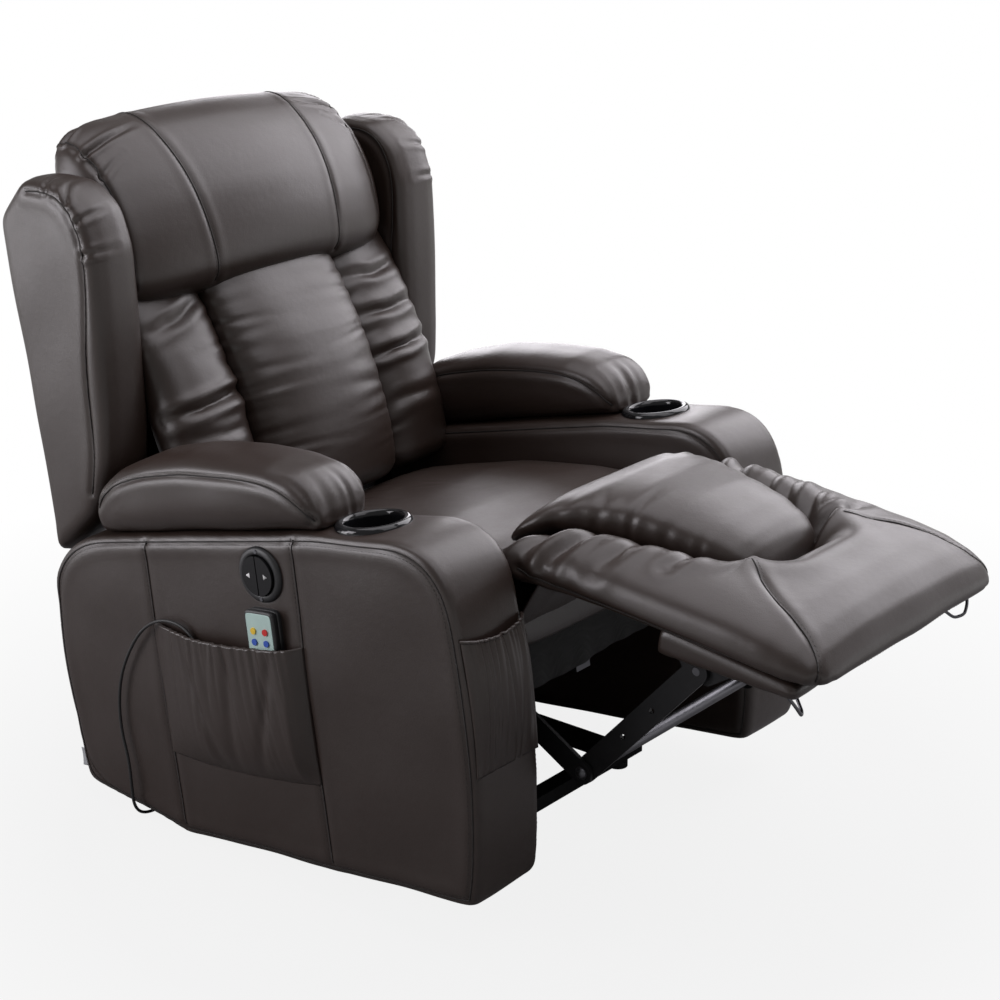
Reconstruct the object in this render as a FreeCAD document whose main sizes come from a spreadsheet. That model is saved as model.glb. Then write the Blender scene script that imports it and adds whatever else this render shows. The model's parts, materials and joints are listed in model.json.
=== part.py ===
import FreeCAD, Part
import math
import os
import re
import Sketcher

# Electric recliner with its footrest out and its body tipped back.
# Millimetres. +Z up, front towards -Y, the sitter's left towards +X.
# The origin is on the floor, under the middle of the opened chair.
# Side outlines are written in the upright body: y backwards from the body's datum, z from the floor.

SIZES = {
    # Place of the body in the part's frame and its poses as photographed
    "datum_back": 151.0, "tilt_angle": 7.67, "tilt_pin_back": 68.0, "tilt_pin_high": 97.0,
    "tilt_lift": 13.0, "tilt_shift": 12.0,
    # Fits
    "running_gap": 0.3, "plate_gap": 1.0, "soft_gap": 0.4, "cut_over": 20.0,
    # Floor frame
    "bar_half": 264.0, "bar_deep": 30.0, "bar_high": 24.0, "glide_high": 12.0, "glide_radius": 17.0,
    "front_bar_back": -205.0, "rear_bar_back": 300.0, "rail_side": 215.0, "rail_wide": 30.0,
    "bracket_thick": 8.0, "bracket_half": 38.0, "tilt_pin_radius": 8.0,
    # Seat frame
    "plate_side": 232.0, "plate_thick": 6.0, "plate_front": -335.0, "plate_low": 235.0,
    "plate_top": 345.0, "plate_rear": 300.0, "lug_half": 48.0, "lug_end": 22.0, "lug_rise": 30.8,
    "side_rail_low": 285.0, "deck_high": 350.0, "front_rail_front": -380.0, "front_rail_deep": 42.0,
    "front_rail_high": 28.0, "rear_rail_front": 150.0, "rear_rail_deep": 40.0, "rear_rail_high": 115.0,
    "web_wide": 52.0, "web_thick": 3.0, "web_pitch": 100.0,
    # Arms
    "arm_inner": 270.0, "arm_wide": 145.0, "arm_front": -404.0, "arm_low": 15.0, "arm_kink": 169.0,
    "arm_rear": 383.0, "arm_rear_low": 63.0, "shoulder_rear": 389.0, "shoulder_low": 398.0,
    "shoulder_front": 276.0, "shoulder_top": 479.0, "deck_rear": -192.0, "deck_top": 529.0,
    "deck_front": -306.0, "nose_front": -439.0, "nose_low": 406.0, "rear_bulge": 14.0,
    "shoulder_bulge": 18.0, "nose_bulge": 42.0, "face_bulge": 20.0,
    "arm_wall": 16.0, "arm_hollow_front": -360.0, "arm_hollow_rear": 150.0, "arm_hollow_top": 400.0,
    "post_wide": 40.0, "post_lift": 10.0, "arm_rail_high": 45.0,
    # Arm pads
    "pad_inset": 12.0, "pad_wide": 140.0, "pad_crest": 630.0, "pad_side_drop": 32.0,
    "pad_edge": 8.0, "pad_rise": 6.0, "pad_tuck": 4.0,
    # Cup holders
    "cup_back": -249.0, "cup_bore": 42.0, "cup_wall": 2.0, "cup_deep": 76.0, "cup_ring": 54.0,
    "cup_ring_high": 5.0,
    # Pockets
    "pocket_front": -152.0, "pocket_rear": 165.0, "pocket_low": 146.0, "pocket_high": 356.0,
    "pocket_bulge": 24.0, "pocket_cloth": 2.5, "pocket_slope": 26.0, "pocket_rear_slope": 104.0,
    "nose_pocket_low": 205.0, "nose_pocket_high": 403.0, "nose_pocket_inset": 8.0, "nose_pocket_bulge": 4.0,
    "nose_pocket_back": 425.0,
    # Switch on the right arm
    "switch_back": -85.0, "switch_high": 460.0, "bezel_radius": 42.0, "bezel_high": 8.0, "bezel_floor": 2.0,
    "key_radius": 30.0, "key_split": 2.0, "key_proud": 4.0, "key_travel": 2.0, "screw_radius": 3.0,
    # Handset in the right pocket
    "handset_back": -85.0, "handset_low": 240.0, "handset_long": 170.0, "handset_wide": 60.0,
    "handset_shell": 10.0, "overlay_thick": 0.8, "overlay_margin": 6.0, "button_radius": 5.0,
    "button_proud": 2.0, "button_travel": 1.0, "button_deep": 3.0, "button_row": 17.0, "button_column": 24.0,
    # Seat cushion
    "seat_front": -390.0, "seat_rear": 150.0, "seat_side_high": 437.0, "seat_crown_high": 474.0,
    "seat_clear": 4.0,
    # Back, leaning on its board
    "board_foot_back": 235.0, "board_foot_high": 440.0, "back_lean": 12.0, "board_thick": 15.0,
    "board_half": 262.0, "board_long": 545.0, "back_pin_back": 255.0, "back_pin_high": 330.0,
    "back_pin_radius": 9.0, "hinge_plate_wide": 44.0, "hinge_plate_up": 120.0,
    "cross_rail_half": 300.0, "cross_rail_high": 40.0, "cross_rail_deep": 28.0,
    "lower_rail_up": 230.0, "upper_rail_up": 480.0,
    "lumbar_half": 146.0, "lumbar_deep": 132.0, "lumbar_crown": 16.0, "lumbar_up": 372.0,
    "bolster_over": 2.0, "bolster_ease": 2.0, "bolster_deep": 106.0, "head_half": 290.0, "head_deep": 117.0,
    "head_low": 386.0, "head_up": 672.0,
    "wing_wide": 92.0, "wing_rear": 408.0, "wing_top": 1025.0, "wing_front": 216.0, "wing_heel_in": 14.0,
    "wing_heel_drop": 32.0, "wing_rear_bulge": 6.0, "wing_nape": 60.0, "wing_top_in": 78.0,
    "wing_top_bulge": 12.0, "wing_brow": 110.0, "wing_brow_in": 4.0, "wing_brow_bulge": 8.0, "wing_waist": 300.0,
    "wing_waist_in": 6.0, "wing_hip": 392.0, "wing_hip_in": 52.0, "wing_toe_back": 44.0, "wing_toe_lift": 14.0,
    "rear_panel_back": 396.0, "rear_panel_thick": 8.0, "rear_panel_low": 380.0, "rear_panel_top": 1000.0,
    "panel_waist_high": 561.0, "panel_hip_high": 609.0, "panel_bulge": 22.0,
    "skirt_front": 372.0, "skirt_thick": 12.0, "skirt_low": 65.0, "skirt_top": 250.0,
    "motor_radius": 32.0, "motor_high": 22.0, "motor_side": 110.0,
    # Footrest about its fold axis
    "fold_back": -462.0, "fold_high": 501.0, "rest_slope": 15.36, "rest_half": 255.0, "rest_front": -452.0,
    "rest_rear": -14.0, "rest_low": -47.0, "rest_crest": 58.0, "rest_pad_half": 160.0,
    "rest_pad_front": -330.0, "board_rear": -215.0, "board_front": -440.0, "board_rear_low": -88.0,
    "board_front_low": -66.0, "board_side": 250.0, "bracket_inset": 5.0, "bracket_long": 120.0,
    # Footrest linkage
    "crank_back": -250.0, "crank_high": 320.0, "reach_front": 228.0, "reach_drop": 173.0,
    "link_thick": 6.0, "link_half": 18.0, "crank_side": 214.0, "link_hole": 9.0, "tube_radius": 12.0,
    "knee_radius": 10.0, "foot_pin_radius": 6.0,
    # Drive
    "lever_long": 90.0, "lever_angle": 230.0, "axis_drop": 78.3, "rod_radius": 9.0, "guide_radius": 15.0,
    "guide_front": -130.0,
    "drive_front": 10.0, "drive_half": 45.0, "drive_high": 66.0, "lever_thick": 10.0, "lever_pin_radius": 6.0,
    "slot_gap": 3.0, "yoke_half_high": 32.0, "yoke_wide": 34.0, "yoke_thick": 6.0, "rod_rear": -20.0,
    "drive_wall": 11.0, "box_lift": 20.0, "box_side": 70.0,
    "box_wide": 100.0, "box_deep": 50.0, "box_high": 70.0,
    # Handset cord
    "cord_radius": 2.5, "gland_radius": 7.0, "gland_long": 12.0,
}

doc = FreeCAD.newDocument("recliner")
sheet = doc.addObject("Spreadsheet::Sheet", "Dims")
for row, (alias, value) in enumerate(SIZES.items(), start=1):
    sheet.set(f"A{row}", str(value))
    sheet.setAlias(f"A{row}", alias)
doc.recompute()

SIDES = (("R", -1), ("L", 1))
WORD = re.compile(r"[a-z_]+[a-z]")
FUNCTIONS = {"sin", "cos", "abs", "hypot", "deg"}
PARTS = []


def bound(text):
    """Turns size names into references to the sheet."""
    return WORD.sub(lambda m: m[0] if m[0] in FUNCTIONS else "Dims." + m[0], str(text))


def number(text):
    """Value of a size expression in millimetres or degrees."""
    return float(sheet.evalExpression(bound(text)))


def frame(name, back, high, turn, parent=None, shift=("0", "0")):
    """A named place turned about X: positive turns lower the front."""
    place = doc.addObject("App::Placement", name)
    inner = f"create(<<rotation>>; create(<<vector>>; 1; 0; 0); {bound(turn)})"
    move = f"create(<<vector>>; 0; {bound(back)}; {bound(high)})"
    still = "create(<<rotation>>; create(<<vector>>; 1; 0; 0); 0)"
    undo = f"create(<<vector>>; 0; {bound(shift[0])}; {bound(shift[1])})"
    whole = f"create(<<placement>>; {move}; {inner}) * create(<<placement>>; {undo}; {still})"
    place.setExpression("Placement", f"{parent}.Placement * {whole}" if parent else whole)
    doc.recompute()
    return name


FLOOR = frame("floor_frame", "datum_back", "0", "0")
BODY = frame("body_frame", "tilt_pin_back + tilt_shift", "tilt_pin_high + tilt_lift", "-tilt_angle", FLOOR,
             ("-tilt_pin_back", "-tilt_pin_high"))
LEAN = frame("lean_frame", "board_foot_back", "board_foot_high", "-back_lean", BODY)
REST = frame("rest_frame", "fold_back", "fold_high", "rest_slope", BODY)


def keep(shape_object, label, place):
    """Files an object as a sub-part standing in one of the frames."""
    shape_object.Label = label
    shape_object.setExpression("Placement", f"{place}.Placement")
    PARTS.append(shape_object)
    return shape_object


def block(name, size, corner):
    """Box from a corner, with bound size and place."""
    box = doc.addObject("Part::Box", name)
    for field, text in zip(("Length", "Width", "Height"), size):
        box.setExpression(field, bound(text))
    for axis, text in zip("xyz", corner):
        box.setExpression(f"Placement.Base.{axis}", bound(text))
    return box


TURNS = {"x": (0, 1, 0, 90), "y": (1, 0, 0, -90), "z": (0, 0, 1, 0)}


def rod(name, radius, length, start, along="x"):
    """Cylinder from the centre of its first end, along one axis."""
    cylinder = doc.addObject("Part::Cylinder", name)
    ax, ay, az, angle = TURNS[along]
    cylinder.Placement.Rotation = FreeCAD.Rotation(FreeCAD.Vector(ax, ay, az), angle)
    cylinder.setExpression("Radius", bound(radius))
    cylinder.setExpression("Height", bound(length))
    for axis, text in zip("xyz", start):
        cylinder.setExpression(f"Placement.Base.{axis}", bound(text))
    return cylinder


def group(name, pieces):
    """Separate solids under one name."""
    bundle = doc.addObject("Part::Compound", name)
    bundle.Links = list(pieces)
    return bundle


def fuse(name, pieces):
    """One solid from several."""
    whole = doc.addObject("Part::MultiFuse", name)
    whole.Shapes = list(pieces)
    return whole


def cut(name, base, *tools):
    """A base with tools taken away one after another."""
    for count, tool in enumerate(tools):
        step = doc.addObject("Part::Cut", f"{name}_{count}" if count + 1 < len(tools) else name)
        step.Base = base
        step.Tool = tool
        base = step
    return base


def arc_radius(first, second, bulge):
    """Radius expression of an arc over a chord, from its height over the chord."""
    chord = f"hypot(({second[0]}) - ({first[0]}); ({second[1]}) - ({first[1]}))"
    return f"(({chord})^2 / 4 + ({bulge})^2) / (2 * abs({bulge}))"


def slab(name, corners, start, thick, plane="YZ_Plane", holes=()):
    """Body padded from an outline. A corner may end with the outward bulge of the edge that leaves it."""
    body = doc.addObject("PartDesign::Body", name)
    sketch = body.newObject("Sketcher::SketchObject", name + "_outline")
    support = [item for item in body.Origin.OriginFeatures if item.Role == plane][0]
    sketch.AttachmentSupport = [(support, "")]
    sketch.MapMode = "FlatFace"
    sketch.setExpression("AttachmentOffset.Base.z", bound(start))
    spots = [FreeCAD.Vector(number(corner[0]), number(corner[1]), 0) for corner in corners]
    for index, corner in enumerate(corners):
        first = spots[index]
        last = spots[(index + 1) % len(spots)]
        if len(corner) == 3:
            chord = last - first
            outward = FreeCAD.Vector(chord.y, -chord.x, 0).normalize() * number(corner[2])
            sketch.addGeometry(Part.Arc(first, (first + last) / 2 + outward, last))
        else:
            sketch.addGeometry(Part.LineSegment(first, last))
    for index, corner in enumerate(corners):
        after = (index + 1) % len(corners)
        sketch.addConstraint(Sketcher.Constraint("Coincident", index, 2, after, 1))
        for kind, text in (("DistanceX", corner[0]), ("DistanceY", corner[1])):
            place = sketch.addConstraint(Sketcher.Constraint(kind, -1, 1, index, 1, number(text)))
            sketch.setExpression(f"Constraints[{place}]", bound(text))
        if len(corner) == 3:
            text = arc_radius(corner, corners[after], corner[2])
            place = sketch.addConstraint(Sketcher.Constraint("Radius", index, number(text)))
            sketch.setExpression(f"Constraints[{place}]", bound(text))
    for across, up, radius in holes:
        centre = FreeCAD.Vector(number(across), number(up), 0)
        circle = sketch.addGeometry(Part.Circle(centre, FreeCAD.Vector(0, 0, 1), number(radius)))
        for kind, text in (("DistanceX", across), ("DistanceY", up)):
            place = sketch.addConstraint(Sketcher.Constraint(kind, -1, 1, circle, 3, number(text)))
            sketch.setExpression(f"Constraints[{place}]", bound(text))
        place = sketch.addConstraint(Sketcher.Constraint("Radius", circle, number(radius)))
        sketch.setExpression(f"Constraints[{place}]", bound(radius))
    doc.recompute()
    pad = body.newObject("PartDesign::Pad", name + "_pad")
    pad.Profile = sketch
    pad.setExpression("Length", bound(thick))
    doc.recompute()
    return body


def low_side(sign, near, wide):
    """Lower X bound of something that spans near to near + wide on one side."""
    return near if sign > 0 else f"-({near}) - ({wide})"


def pillow(name, stations, to_space, centre=0.0):
    """Soft solid lofted through crowned sections: station, half width, foot, shoulder, crown, side swell."""
    wires = []
    for along, half, foot, shoulder, crown, swell in stations:
        def spot(across, up, at=along):
            return to_space(at, centre + across, up)
        middle = (foot + shoulder) / 2
        edges = [
            Part.LineSegment(spot(-half, foot), spot(half, foot)).toShape(),
            Part.Arc(spot(half, foot), spot(half + swell, middle), spot(half, shoulder)).toShape(),
            Part.Arc(spot(half, shoulder), spot(0, crown), spot(-half, shoulder)).toShape(),
            Part.Arc(spot(-half, shoulder), spot(-half - swell, middle), spot(-half, foot)).toShape(),
        ]
        wires.append(Part.Wire(edges))
    feature = doc.addObject("Part::Feature", name)
    feature.Shape = Part.makeLoft(wires, True)
    return feature


def seat_space(along, across, up):
    return FreeCAD.Vector(across, along, up)


def lean_space(along, across, up):
    return FreeCAD.Vector(across, -up, along)


def floor_frame_pieces():
    """Rails, cross bars, glides and the brackets that carry the body."""
    bars = [block(name, (f"2 * ({half})", "bar_deep", "bar_high"),
                  (f"-({half})", f"{back} - bar_deep / 2", "glide_high"))
            for name, back, half in (("front_bar", "front_bar_back", "bar_half"),
                                     ("rear_bar", "rear_bar_back", "rail_side + rail_wide / 2"))]
    keep(group("bar_group", bars), "base_cross_bars", FLOOR)
    rails = [block(f"rail_{side}", ("rail_wide", "rear_bar_back - front_bar_back - bar_deep", "bar_high"),
                   (f"{sign} * rail_side - rail_wide / 2", "front_bar_back + bar_deep / 2", "glide_high"))
             for side, sign in SIDES]
    keep(group("rail_group", rails), "base_rails", FLOOR)
    glides = []
    brackets = []
    for side, sign in SIDES:
        for end in ("front_bar_back", "rear_bar_back"):
            glides.append(rod(f"glide_{side}_{end}", "glide_radius", "glide_high",
                              (f"{sign} * rail_side", end, "0"), "z"))
        pin_back = "tilt_pin_back + tilt_shift"
        pin_high = "tilt_pin_high + tilt_lift"
        top = f"{pin_high} + lug_end"
        foot = "glide_high + bar_high"
        outline = [(f"{pin_back} - bracket_half", foot), (f"{pin_back} + bracket_half", foot),
                   (f"{pin_back} + lug_end", top), (f"{pin_back} - lug_end", top)]
        start = low_side(sign, "rail_side + rail_wide / 2 - bracket_thick", "bracket_thick")
        brackets.append(slab(f"bracket_{side}", outline, start, "bracket_thick",
                             holes=[(pin_back, pin_high, "tilt_pin_radius + running_gap")]))
    keep(group("bracket_group", brackets), "pivot_brackets", FLOOR)
    keep(group("glide_group", glides), "glide_feet", FLOOR)
    length = "plate_side + plate_thick - rail_side - rail_wide / 2 + bracket_thick"
    pins = [rod(f"tilt_pin_{side}", "tilt_pin_radius", length,
                (low_side(sign, "rail_side + rail_wide / 2 - bracket_thick", length), pin_back, pin_high))
            for side, sign in SIDES]
    keep(group("tilt_pin_group", pins), "tilt_pins", FLOOR)


def seat_frame_pieces():
    """Side plates, wooden rails and webbing under the seat."""
    plates = []
    rails = []
    for side, sign in SIDES:
        outline = [("plate_front", "plate_low"), ("tilt_pin_back - lug_half", "plate_low"),
                   ("tilt_pin_back - lug_end", "tilt_pin_high - lug_end"),
                   ("tilt_pin_back + lug_end", "tilt_pin_high - lug_end"),
                   ("tilt_pin_back + lug_half", "plate_low"), ("plate_rear", "plate_low"),
                   ("plate_rear", "back_pin_high + lug_rise"),
                   ("rear_rail_front", "plate_top"), ("plate_front", "plate_top")]
        holes = [("tilt_pin_back", "tilt_pin_high", "tilt_pin_radius + running_gap"),
                 ("crank_back", "crank_high", "tube_radius + running_gap"),
                 ("back_pin_back", "back_pin_high", "back_pin_radius + running_gap")]
        plates.append(slab(f"plate_{side}", outline, low_side(sign, "plate_side", "plate_thick"), "plate_thick",
                           holes=holes))
        wide = "arm_inner - plate_side - plate_thick"
        rails.append(block(
            f"side_rail_{side}",
            (wide, "rear_rail_front - front_rail_front - front_rail_deep", "deck_high - side_rail_low"),
            (low_side(sign, "plate_side + plate_thick", wide), "front_rail_front + front_rail_deep",
             "side_rail_low")))
    keep(group("plate_group", plates), "seat_side_plates", BODY)
    keep(group("side_rail_group", rails), "seat_side_rails", BODY)
    front = block("front_rail", ("2 * arm_inner", "front_rail_deep", "front_rail_high"),
                  ("-arm_inner", "front_rail_front", "deck_high - front_rail_high"))
    keep(group("front_rail_group", [front]), "seat_front_rail", BODY)
    rear = block("rear_rail", ("2 * plate_side", "rear_rail_deep", "rear_rail_high"),
                 ("-plate_side", "rear_rail_front", "deck_high - rear_rail_high"))
    keep(group("rear_rail_group", [rear]), "seat_rear_rail", BODY)
    web_long = "rear_rail_front + rear_rail_deep - front_rail_front"
    webs = [block(f"web_{index}", ("web_wide", web_long, "web_thick"),
                  (f"{index} * web_pitch - web_wide / 2", "front_rail_front", "deck_high"))
            for index in range(-2, 3)]
    keep(group("web_group", webs), "seat_webbing", BODY)
    skirt = block("skirt", ("2 * arm_inner", "skirt_thick", "skirt_top - skirt_low"),
                  ("-arm_inner", "skirt_front", "skirt_low"))
    keep(group("skirt_group", [skirt]), "rear_skirt", BODY)
    pins = [rod(f"back_pin_{side}", "back_pin_radius", "plate_thick * 2 + plate_gap * 2",
                (low_side(sign, "plate_side - plate_thick - plate_gap", "plate_thick * 2 + plate_gap * 2"),
                 "back_pin_back", "back_pin_high")) for side, sign in SIDES]
    keep(group("back_pin_group", pins), "back_hinge_pins", BODY)


# Share of the length, then what is lost of half width, side height and crown, and the hollow of the sides
SEAT_TAPER = ((0.0, 14, 34, 50, 4), (0.06, 5, 8, 16, 3), (0.35, 3, 0, 0, 3), (0.70, 3, 16, 20, 3),
              (1.0, 6, 36, 52, 3))
# Share of the length, then what is lost of the crown and of the half width
ARM_PAD_TAPER = ((0.0, 64, 16), (0.06, 22, 5), (0.25, 3, 0), (0.45, 0, 0), (0.68, 12, 0), (0.88, 42, 4),
                 (1.0, 100, 16))
LUMBAR_TAPER = ((0, 34, 8), (0.08, 6, 2), (0.36, -8, 2), (0.66, 8, 2), (0.92, 36, 2), (0.99, 64, 6))
BOLSTER_TAPER = ((0, 30, 6), (0.1, 6, 0), (0.36, 0, 0), (0.66, 16, 0), (0.92, 44, 0), (0.99, 60, 5))
HEAD_TAPER = ((0, 52, 8), (0.1, 20, 2), (0.3, 0, 0), (0.5, 2, 0), (0.74, 26, 10), (0.92, 62, 44),
              (1.0, 84, 90))
REST_TAPER = ((0, 66, 16), (0.05, 28, 6), (0.2, 6, 3), (0.5, 0, 3), (0.85, 12, 3), (1.0, 40, 10))
REST_PAD_TAPER = ((0, 34, 4), (0.07, 8, 3), (0.35, -6, 3), (0.7, -2, 3), (0.94, 14, 3), (1.0, 44, 8))


def seat_cushion():
    """Box cushion with a crown, drawn in at its ends."""
    half = number("arm_inner - seat_clear")
    foot = number("deck_high + web_thick + soft_gap")
    side = number("seat_side_high")
    crown = number("seat_crown_high")
    front = number("seat_front")
    rear = number("seat_rear")
    long = rear - front
    stations = [(front + share * long, half - narrow, foot, side - side_less, crown - less, -swell)
                for share, narrow, side_less, less, swell in SEAT_TAPER]
    keep(pillow("seat_pillow", stations, seat_space), "seat_cushion", BODY)


ARM_OUTLINE = [
    ("arm_front", "arm_low"), ("arm_kink", "arm_low"), ("arm_rear", "arm_rear_low", "rear_bulge"),
    ("shoulder_rear", "shoulder_low", "shoulder_bulge"), ("shoulder_front", "shoulder_top"),
    ("deck_rear", "deck_top"), ("deck_front", "deck_top", "nose_bulge"),
    ("nose_front", "nose_low", "face_bulge"),
]


def arms():
    """Padded arms on wooden posts, with their pads, cup holders and front pockets."""
    frames = []
    for side, sign in SIDES:
        start = low_side(sign, "arm_inner", "arm_wide")
        middle = f"{sign} * (arm_inner + arm_wide / 2)"
        solid = slab(f"arm_solid_{side}", ARM_OUTLINE, start, "arm_wide")
        well = rod(f"cup_well_{side}", "cup_bore + cup_wall + running_gap", "cup_deep + cup_wall",
                   (middle, "cup_back", "deck_top - cup_deep - cup_wall + running_gap"), "z")
        hollow_wide = "arm_wide - 2 * arm_wall"
        hollow_start = low_side(sign, "arm_inner + arm_wall", hollow_wide)
        hollow = block(f"arm_hollow_{side}",
                       (hollow_wide, "arm_hollow_rear - arm_hollow_front",
                        "arm_hollow_top - arm_low + cut_over"),
                       (hollow_start, "arm_hollow_front", "arm_low - cut_over"))
        keep(cut(f"arm_{side}", solid, well, hollow), f"arm_{side}", BODY)
        posts = [block(f"post_{side}_{index}",
                       (hollow_wide, "post_wide", "arm_hollow_top - arm_low - post_lift"),
                       (hollow_start, back, "arm_low + post_lift"))
                 for index, back in enumerate(("arm_hollow_front", "arm_hollow_rear - post_wide"))]
        posts.append(block(f"arm_rail_{side}",
                           (hollow_wide, "arm_hollow_rear - arm_hollow_front - 2 * post_wide", "arm_rail_high"),
                           (hollow_start, "arm_hollow_front + post_wide", "arm_hollow_top - arm_rail_high")))
        frames.append(fuse(f"arm_posts_{side}", posts))
        cup_holder(side, middle)
        arm_pad(side, sign)
        nose_pocket(side, sign)
    keep(group("arm_frame_group", frames), "arm_frames", BODY)


def cup_holder(side, middle):
    """Moulded cup with a flat ring on the arm's deck."""
    low = "deck_top + running_gap - cup_deep"
    cup = fuse(f"cup_whole_{side}", [
        rod(f"cup_wall_{side}", "cup_bore + cup_wall", "cup_deep", (middle, "cup_back", low), "z"),
        rod(f"cup_ring_{side}", "cup_ring", "cup_ring_high",
            (middle, "cup_back", "deck_top + running_gap"), "z")])
    bore = rod(f"cup_bore_{side}", "cup_bore", "cup_deep + cup_ring_high",
               (middle, "cup_back", f"{low} + cup_wall"), "z")
    keep(cut(f"cup_{side}", cup, bore), f"cup_holder_{side}", BODY)


def arm_pad(side, sign):
    """Crowned pad on the sloping top of the arm."""
    half = number("pad_wide") / 2
    centre = sign * (number("arm_inner + pad_inset") + half)
    crest = number("pad_crest")
    drop = number("pad_side_drop")
    front = number("deck_rear")
    rear = number("shoulder_front")
    slope = number("(deck_top - shoulder_top) / (shoulder_front - deck_rear)")
    gap = number("soft_gap")
    top = number("deck_top")
    edge = number("pad_edge")
    rise = number("pad_rise")
    tuck = number("pad_tuck")
    stations = []
    for share, fall, narrow in ARM_PAD_TAPER:
        along = front + share * (rear - front)
        foot = top - slope * (along - front) + gap
        crown = crest - fall
        shoulder = max(foot + edge, crown - drop)
        stations.append((along, half - narrow - tuck, foot, shoulder, max(crown, shoulder + rise), 3))
    keep(pillow(f"pad_{side}", stations, seat_space, centre), f"arm_pad_{side}", BODY)


def nose_pocket(side, sign):
    """Open-topped cloth pocket on the front of an arm."""
    inner = "arm_inner + nose_pocket_inset"
    outer = "arm_inner + arm_wide - nose_pocket_inset"
    fore = "nose_front - face_bulge - nose_pocket_bulge"
    high = "nose_pocket_high - nose_pocket_low"
    near = inner if sign > 0 else f"-({outer})"
    far = outer if sign > 0 else f"-({inner})"

    def outline(inset, ahead):
        return [(f"{near} + pocket_slope + {inset}", f"{fore} + {ahead}"),
                (f"{far} - pocket_slope - {inset}", f"{fore} + {ahead}"),
                (f"{far} - {inset}", "-nose_pocket_back"), (f"{near} + {inset}", "-nose_pocket_back")]
    whole = slab(f"nose_bag_{side}", outline("0", "0"), "nose_pocket_low", high, "XY_Plane")
    inside = slab(f"nose_void_{side}", outline("pocket_cloth", "pocket_cloth"),
                  "nose_pocket_low + pocket_cloth", high, "XY_Plane")
    fill = slab(f"nose_fill_{side}", ARM_OUTLINE, low_side(sign, "arm_inner", "arm_wide"), "arm_wide")
    keep(cut(f"nose_pocket_{side}", whole, inside, fill), f"front_pocket_{side}", BODY)


def side_pocket():
    """Cloth pocket on the right arm that holds the handset."""
    face = "-arm_inner - arm_wide"
    high = "pocket_high - pocket_low"

    def outline(inset):
        return [(face, f"pocket_front + {inset}"), (face, f"pocket_rear - {inset}"),
                (f"{face} - pocket_bulge + {inset}", "pocket_rear - pocket_rear_slope"),
                (f"{face} - pocket_bulge + {inset}", f"pocket_front + pocket_slope + {inset}")]
    whole = slab("pocket_bag", outline("0"), "pocket_low", high, "XY_Plane")
    inside = slab("pocket_void", outline("pocket_cloth"), "pocket_low + pocket_cloth", high, "XY_Plane")
    keep(cut("pocket_sheet", whole, inside), "side_pocket", BODY)


def arm_switch():
    """Round bezel with two half-round keys and its screws on the right arm."""
    face = "-arm_inner - arm_wide"
    disc = rod("bezel_disc", "bezel_radius", "bezel_high",
               (f"{face} - bezel_high", "switch_back", "switch_high"))
    well = rod("bezel_well", "key_radius + plate_gap / 2", "bezel_high",
               (f"{face} - bezel_high - bezel_floor", "switch_back", "switch_high"))
    keep(cut("bezel", disc, well), "switch_housing", BODY)
    key_long = "bezel_high - bezel_floor + key_proud - key_travel - plate_gap / 2"
    for label, toward in (("switch_key_forward", -1), ("switch_key_back", 1)):
        disc = rod(label + "_disc", "key_radius", key_long,
                   (f"{face} - bezel_high - key_proud", "switch_back", "switch_high"))
        back = "switch_back - key_radius * 2 + key_split / 2" if toward > 0 else "switch_back - key_split / 2"
        half = block(label + "_half", ("bezel_high * 4", "key_radius * 2", "key_radius * 2"),
                     (f"{face} - bezel_high * 3", back, "switch_high - key_radius"))
        keep(cut(label + "_cut", disc, half), label, BODY)
    ring = "(key_radius + bezel_radius) / 2"
    screws = [rod(f"switch_screw_{sign}", "screw_radius", "plate_gap",
                  (f"{face} - bezel_high - plate_gap", "switch_back", f"switch_high + {sign} * {ring}"))
              for sign in (1, -1)]
    keep(group("switch_screw_group", screws), "switch_screws", BODY)


BUTTONS = {"handset_button_red": (1, 1), "handset_button_yellow": (1, -1),
           "handset_button_blue_upper": (0, 1), "handset_button_blue_lower": (0, -1)}


def handset():
    """Wired handset standing in the side pocket."""
    face = "-arm_inner - arm_wide"
    low = "handset_back - handset_wide / 2"
    size = ("handset_shell", "handset_wide", "handset_long")
    rear = block("handset_rear", size, (f"{face} - handset_shell", low, "handset_low"))
    keep(group("handset_rear_group", [rear]), "handset_rear_shell", BODY)
    outer = f"{face} - 2 * handset_shell"
    front = block("handset_front", size, (outer, low, "handset_low"))
    wells = []
    overlay = [block("overlay_sheet", ("overlay_thick", "handset_wide - 2 * overlay_margin",
                                       "handset_long - 2 * overlay_margin"),
                     (f"{outer} - overlay_thick", f"{low} + overlay_margin", "handset_low + overlay_margin"))]
    for label, (row, column) in BUTTONS.items():
        spot = (f"handset_back - {column} * button_column / 2",
                f"handset_low + handset_long - button_row * {3 - row} + overlay_margin / 2")
        wells.append(rod(label + "_well", "button_radius + running_gap",
                         "button_deep + overlay_thick + cut_over",
                         (f"{outer} - overlay_thick - cut_over", *spot)))
        overlay.append(rod(label + "_window", "button_radius + running_gap", "overlay_thick * 3",
                           (f"{outer} - overlay_thick * 2", *spot)))
        button = rod(label + "_stem", "button_radius",
                     "button_proud + overlay_thick + button_deep - button_travel - running_gap",
                     (f"{outer} - overlay_thick - button_proud", *spot))
        keep(group(label + "_group", [button]), label, BODY)
    keep(cut("handset_front_cut", front, *wells), "handset_front_shell", BODY)
    keep(cut("overlay_cut", *overlay), "handset_overlay", BODY)


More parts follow.
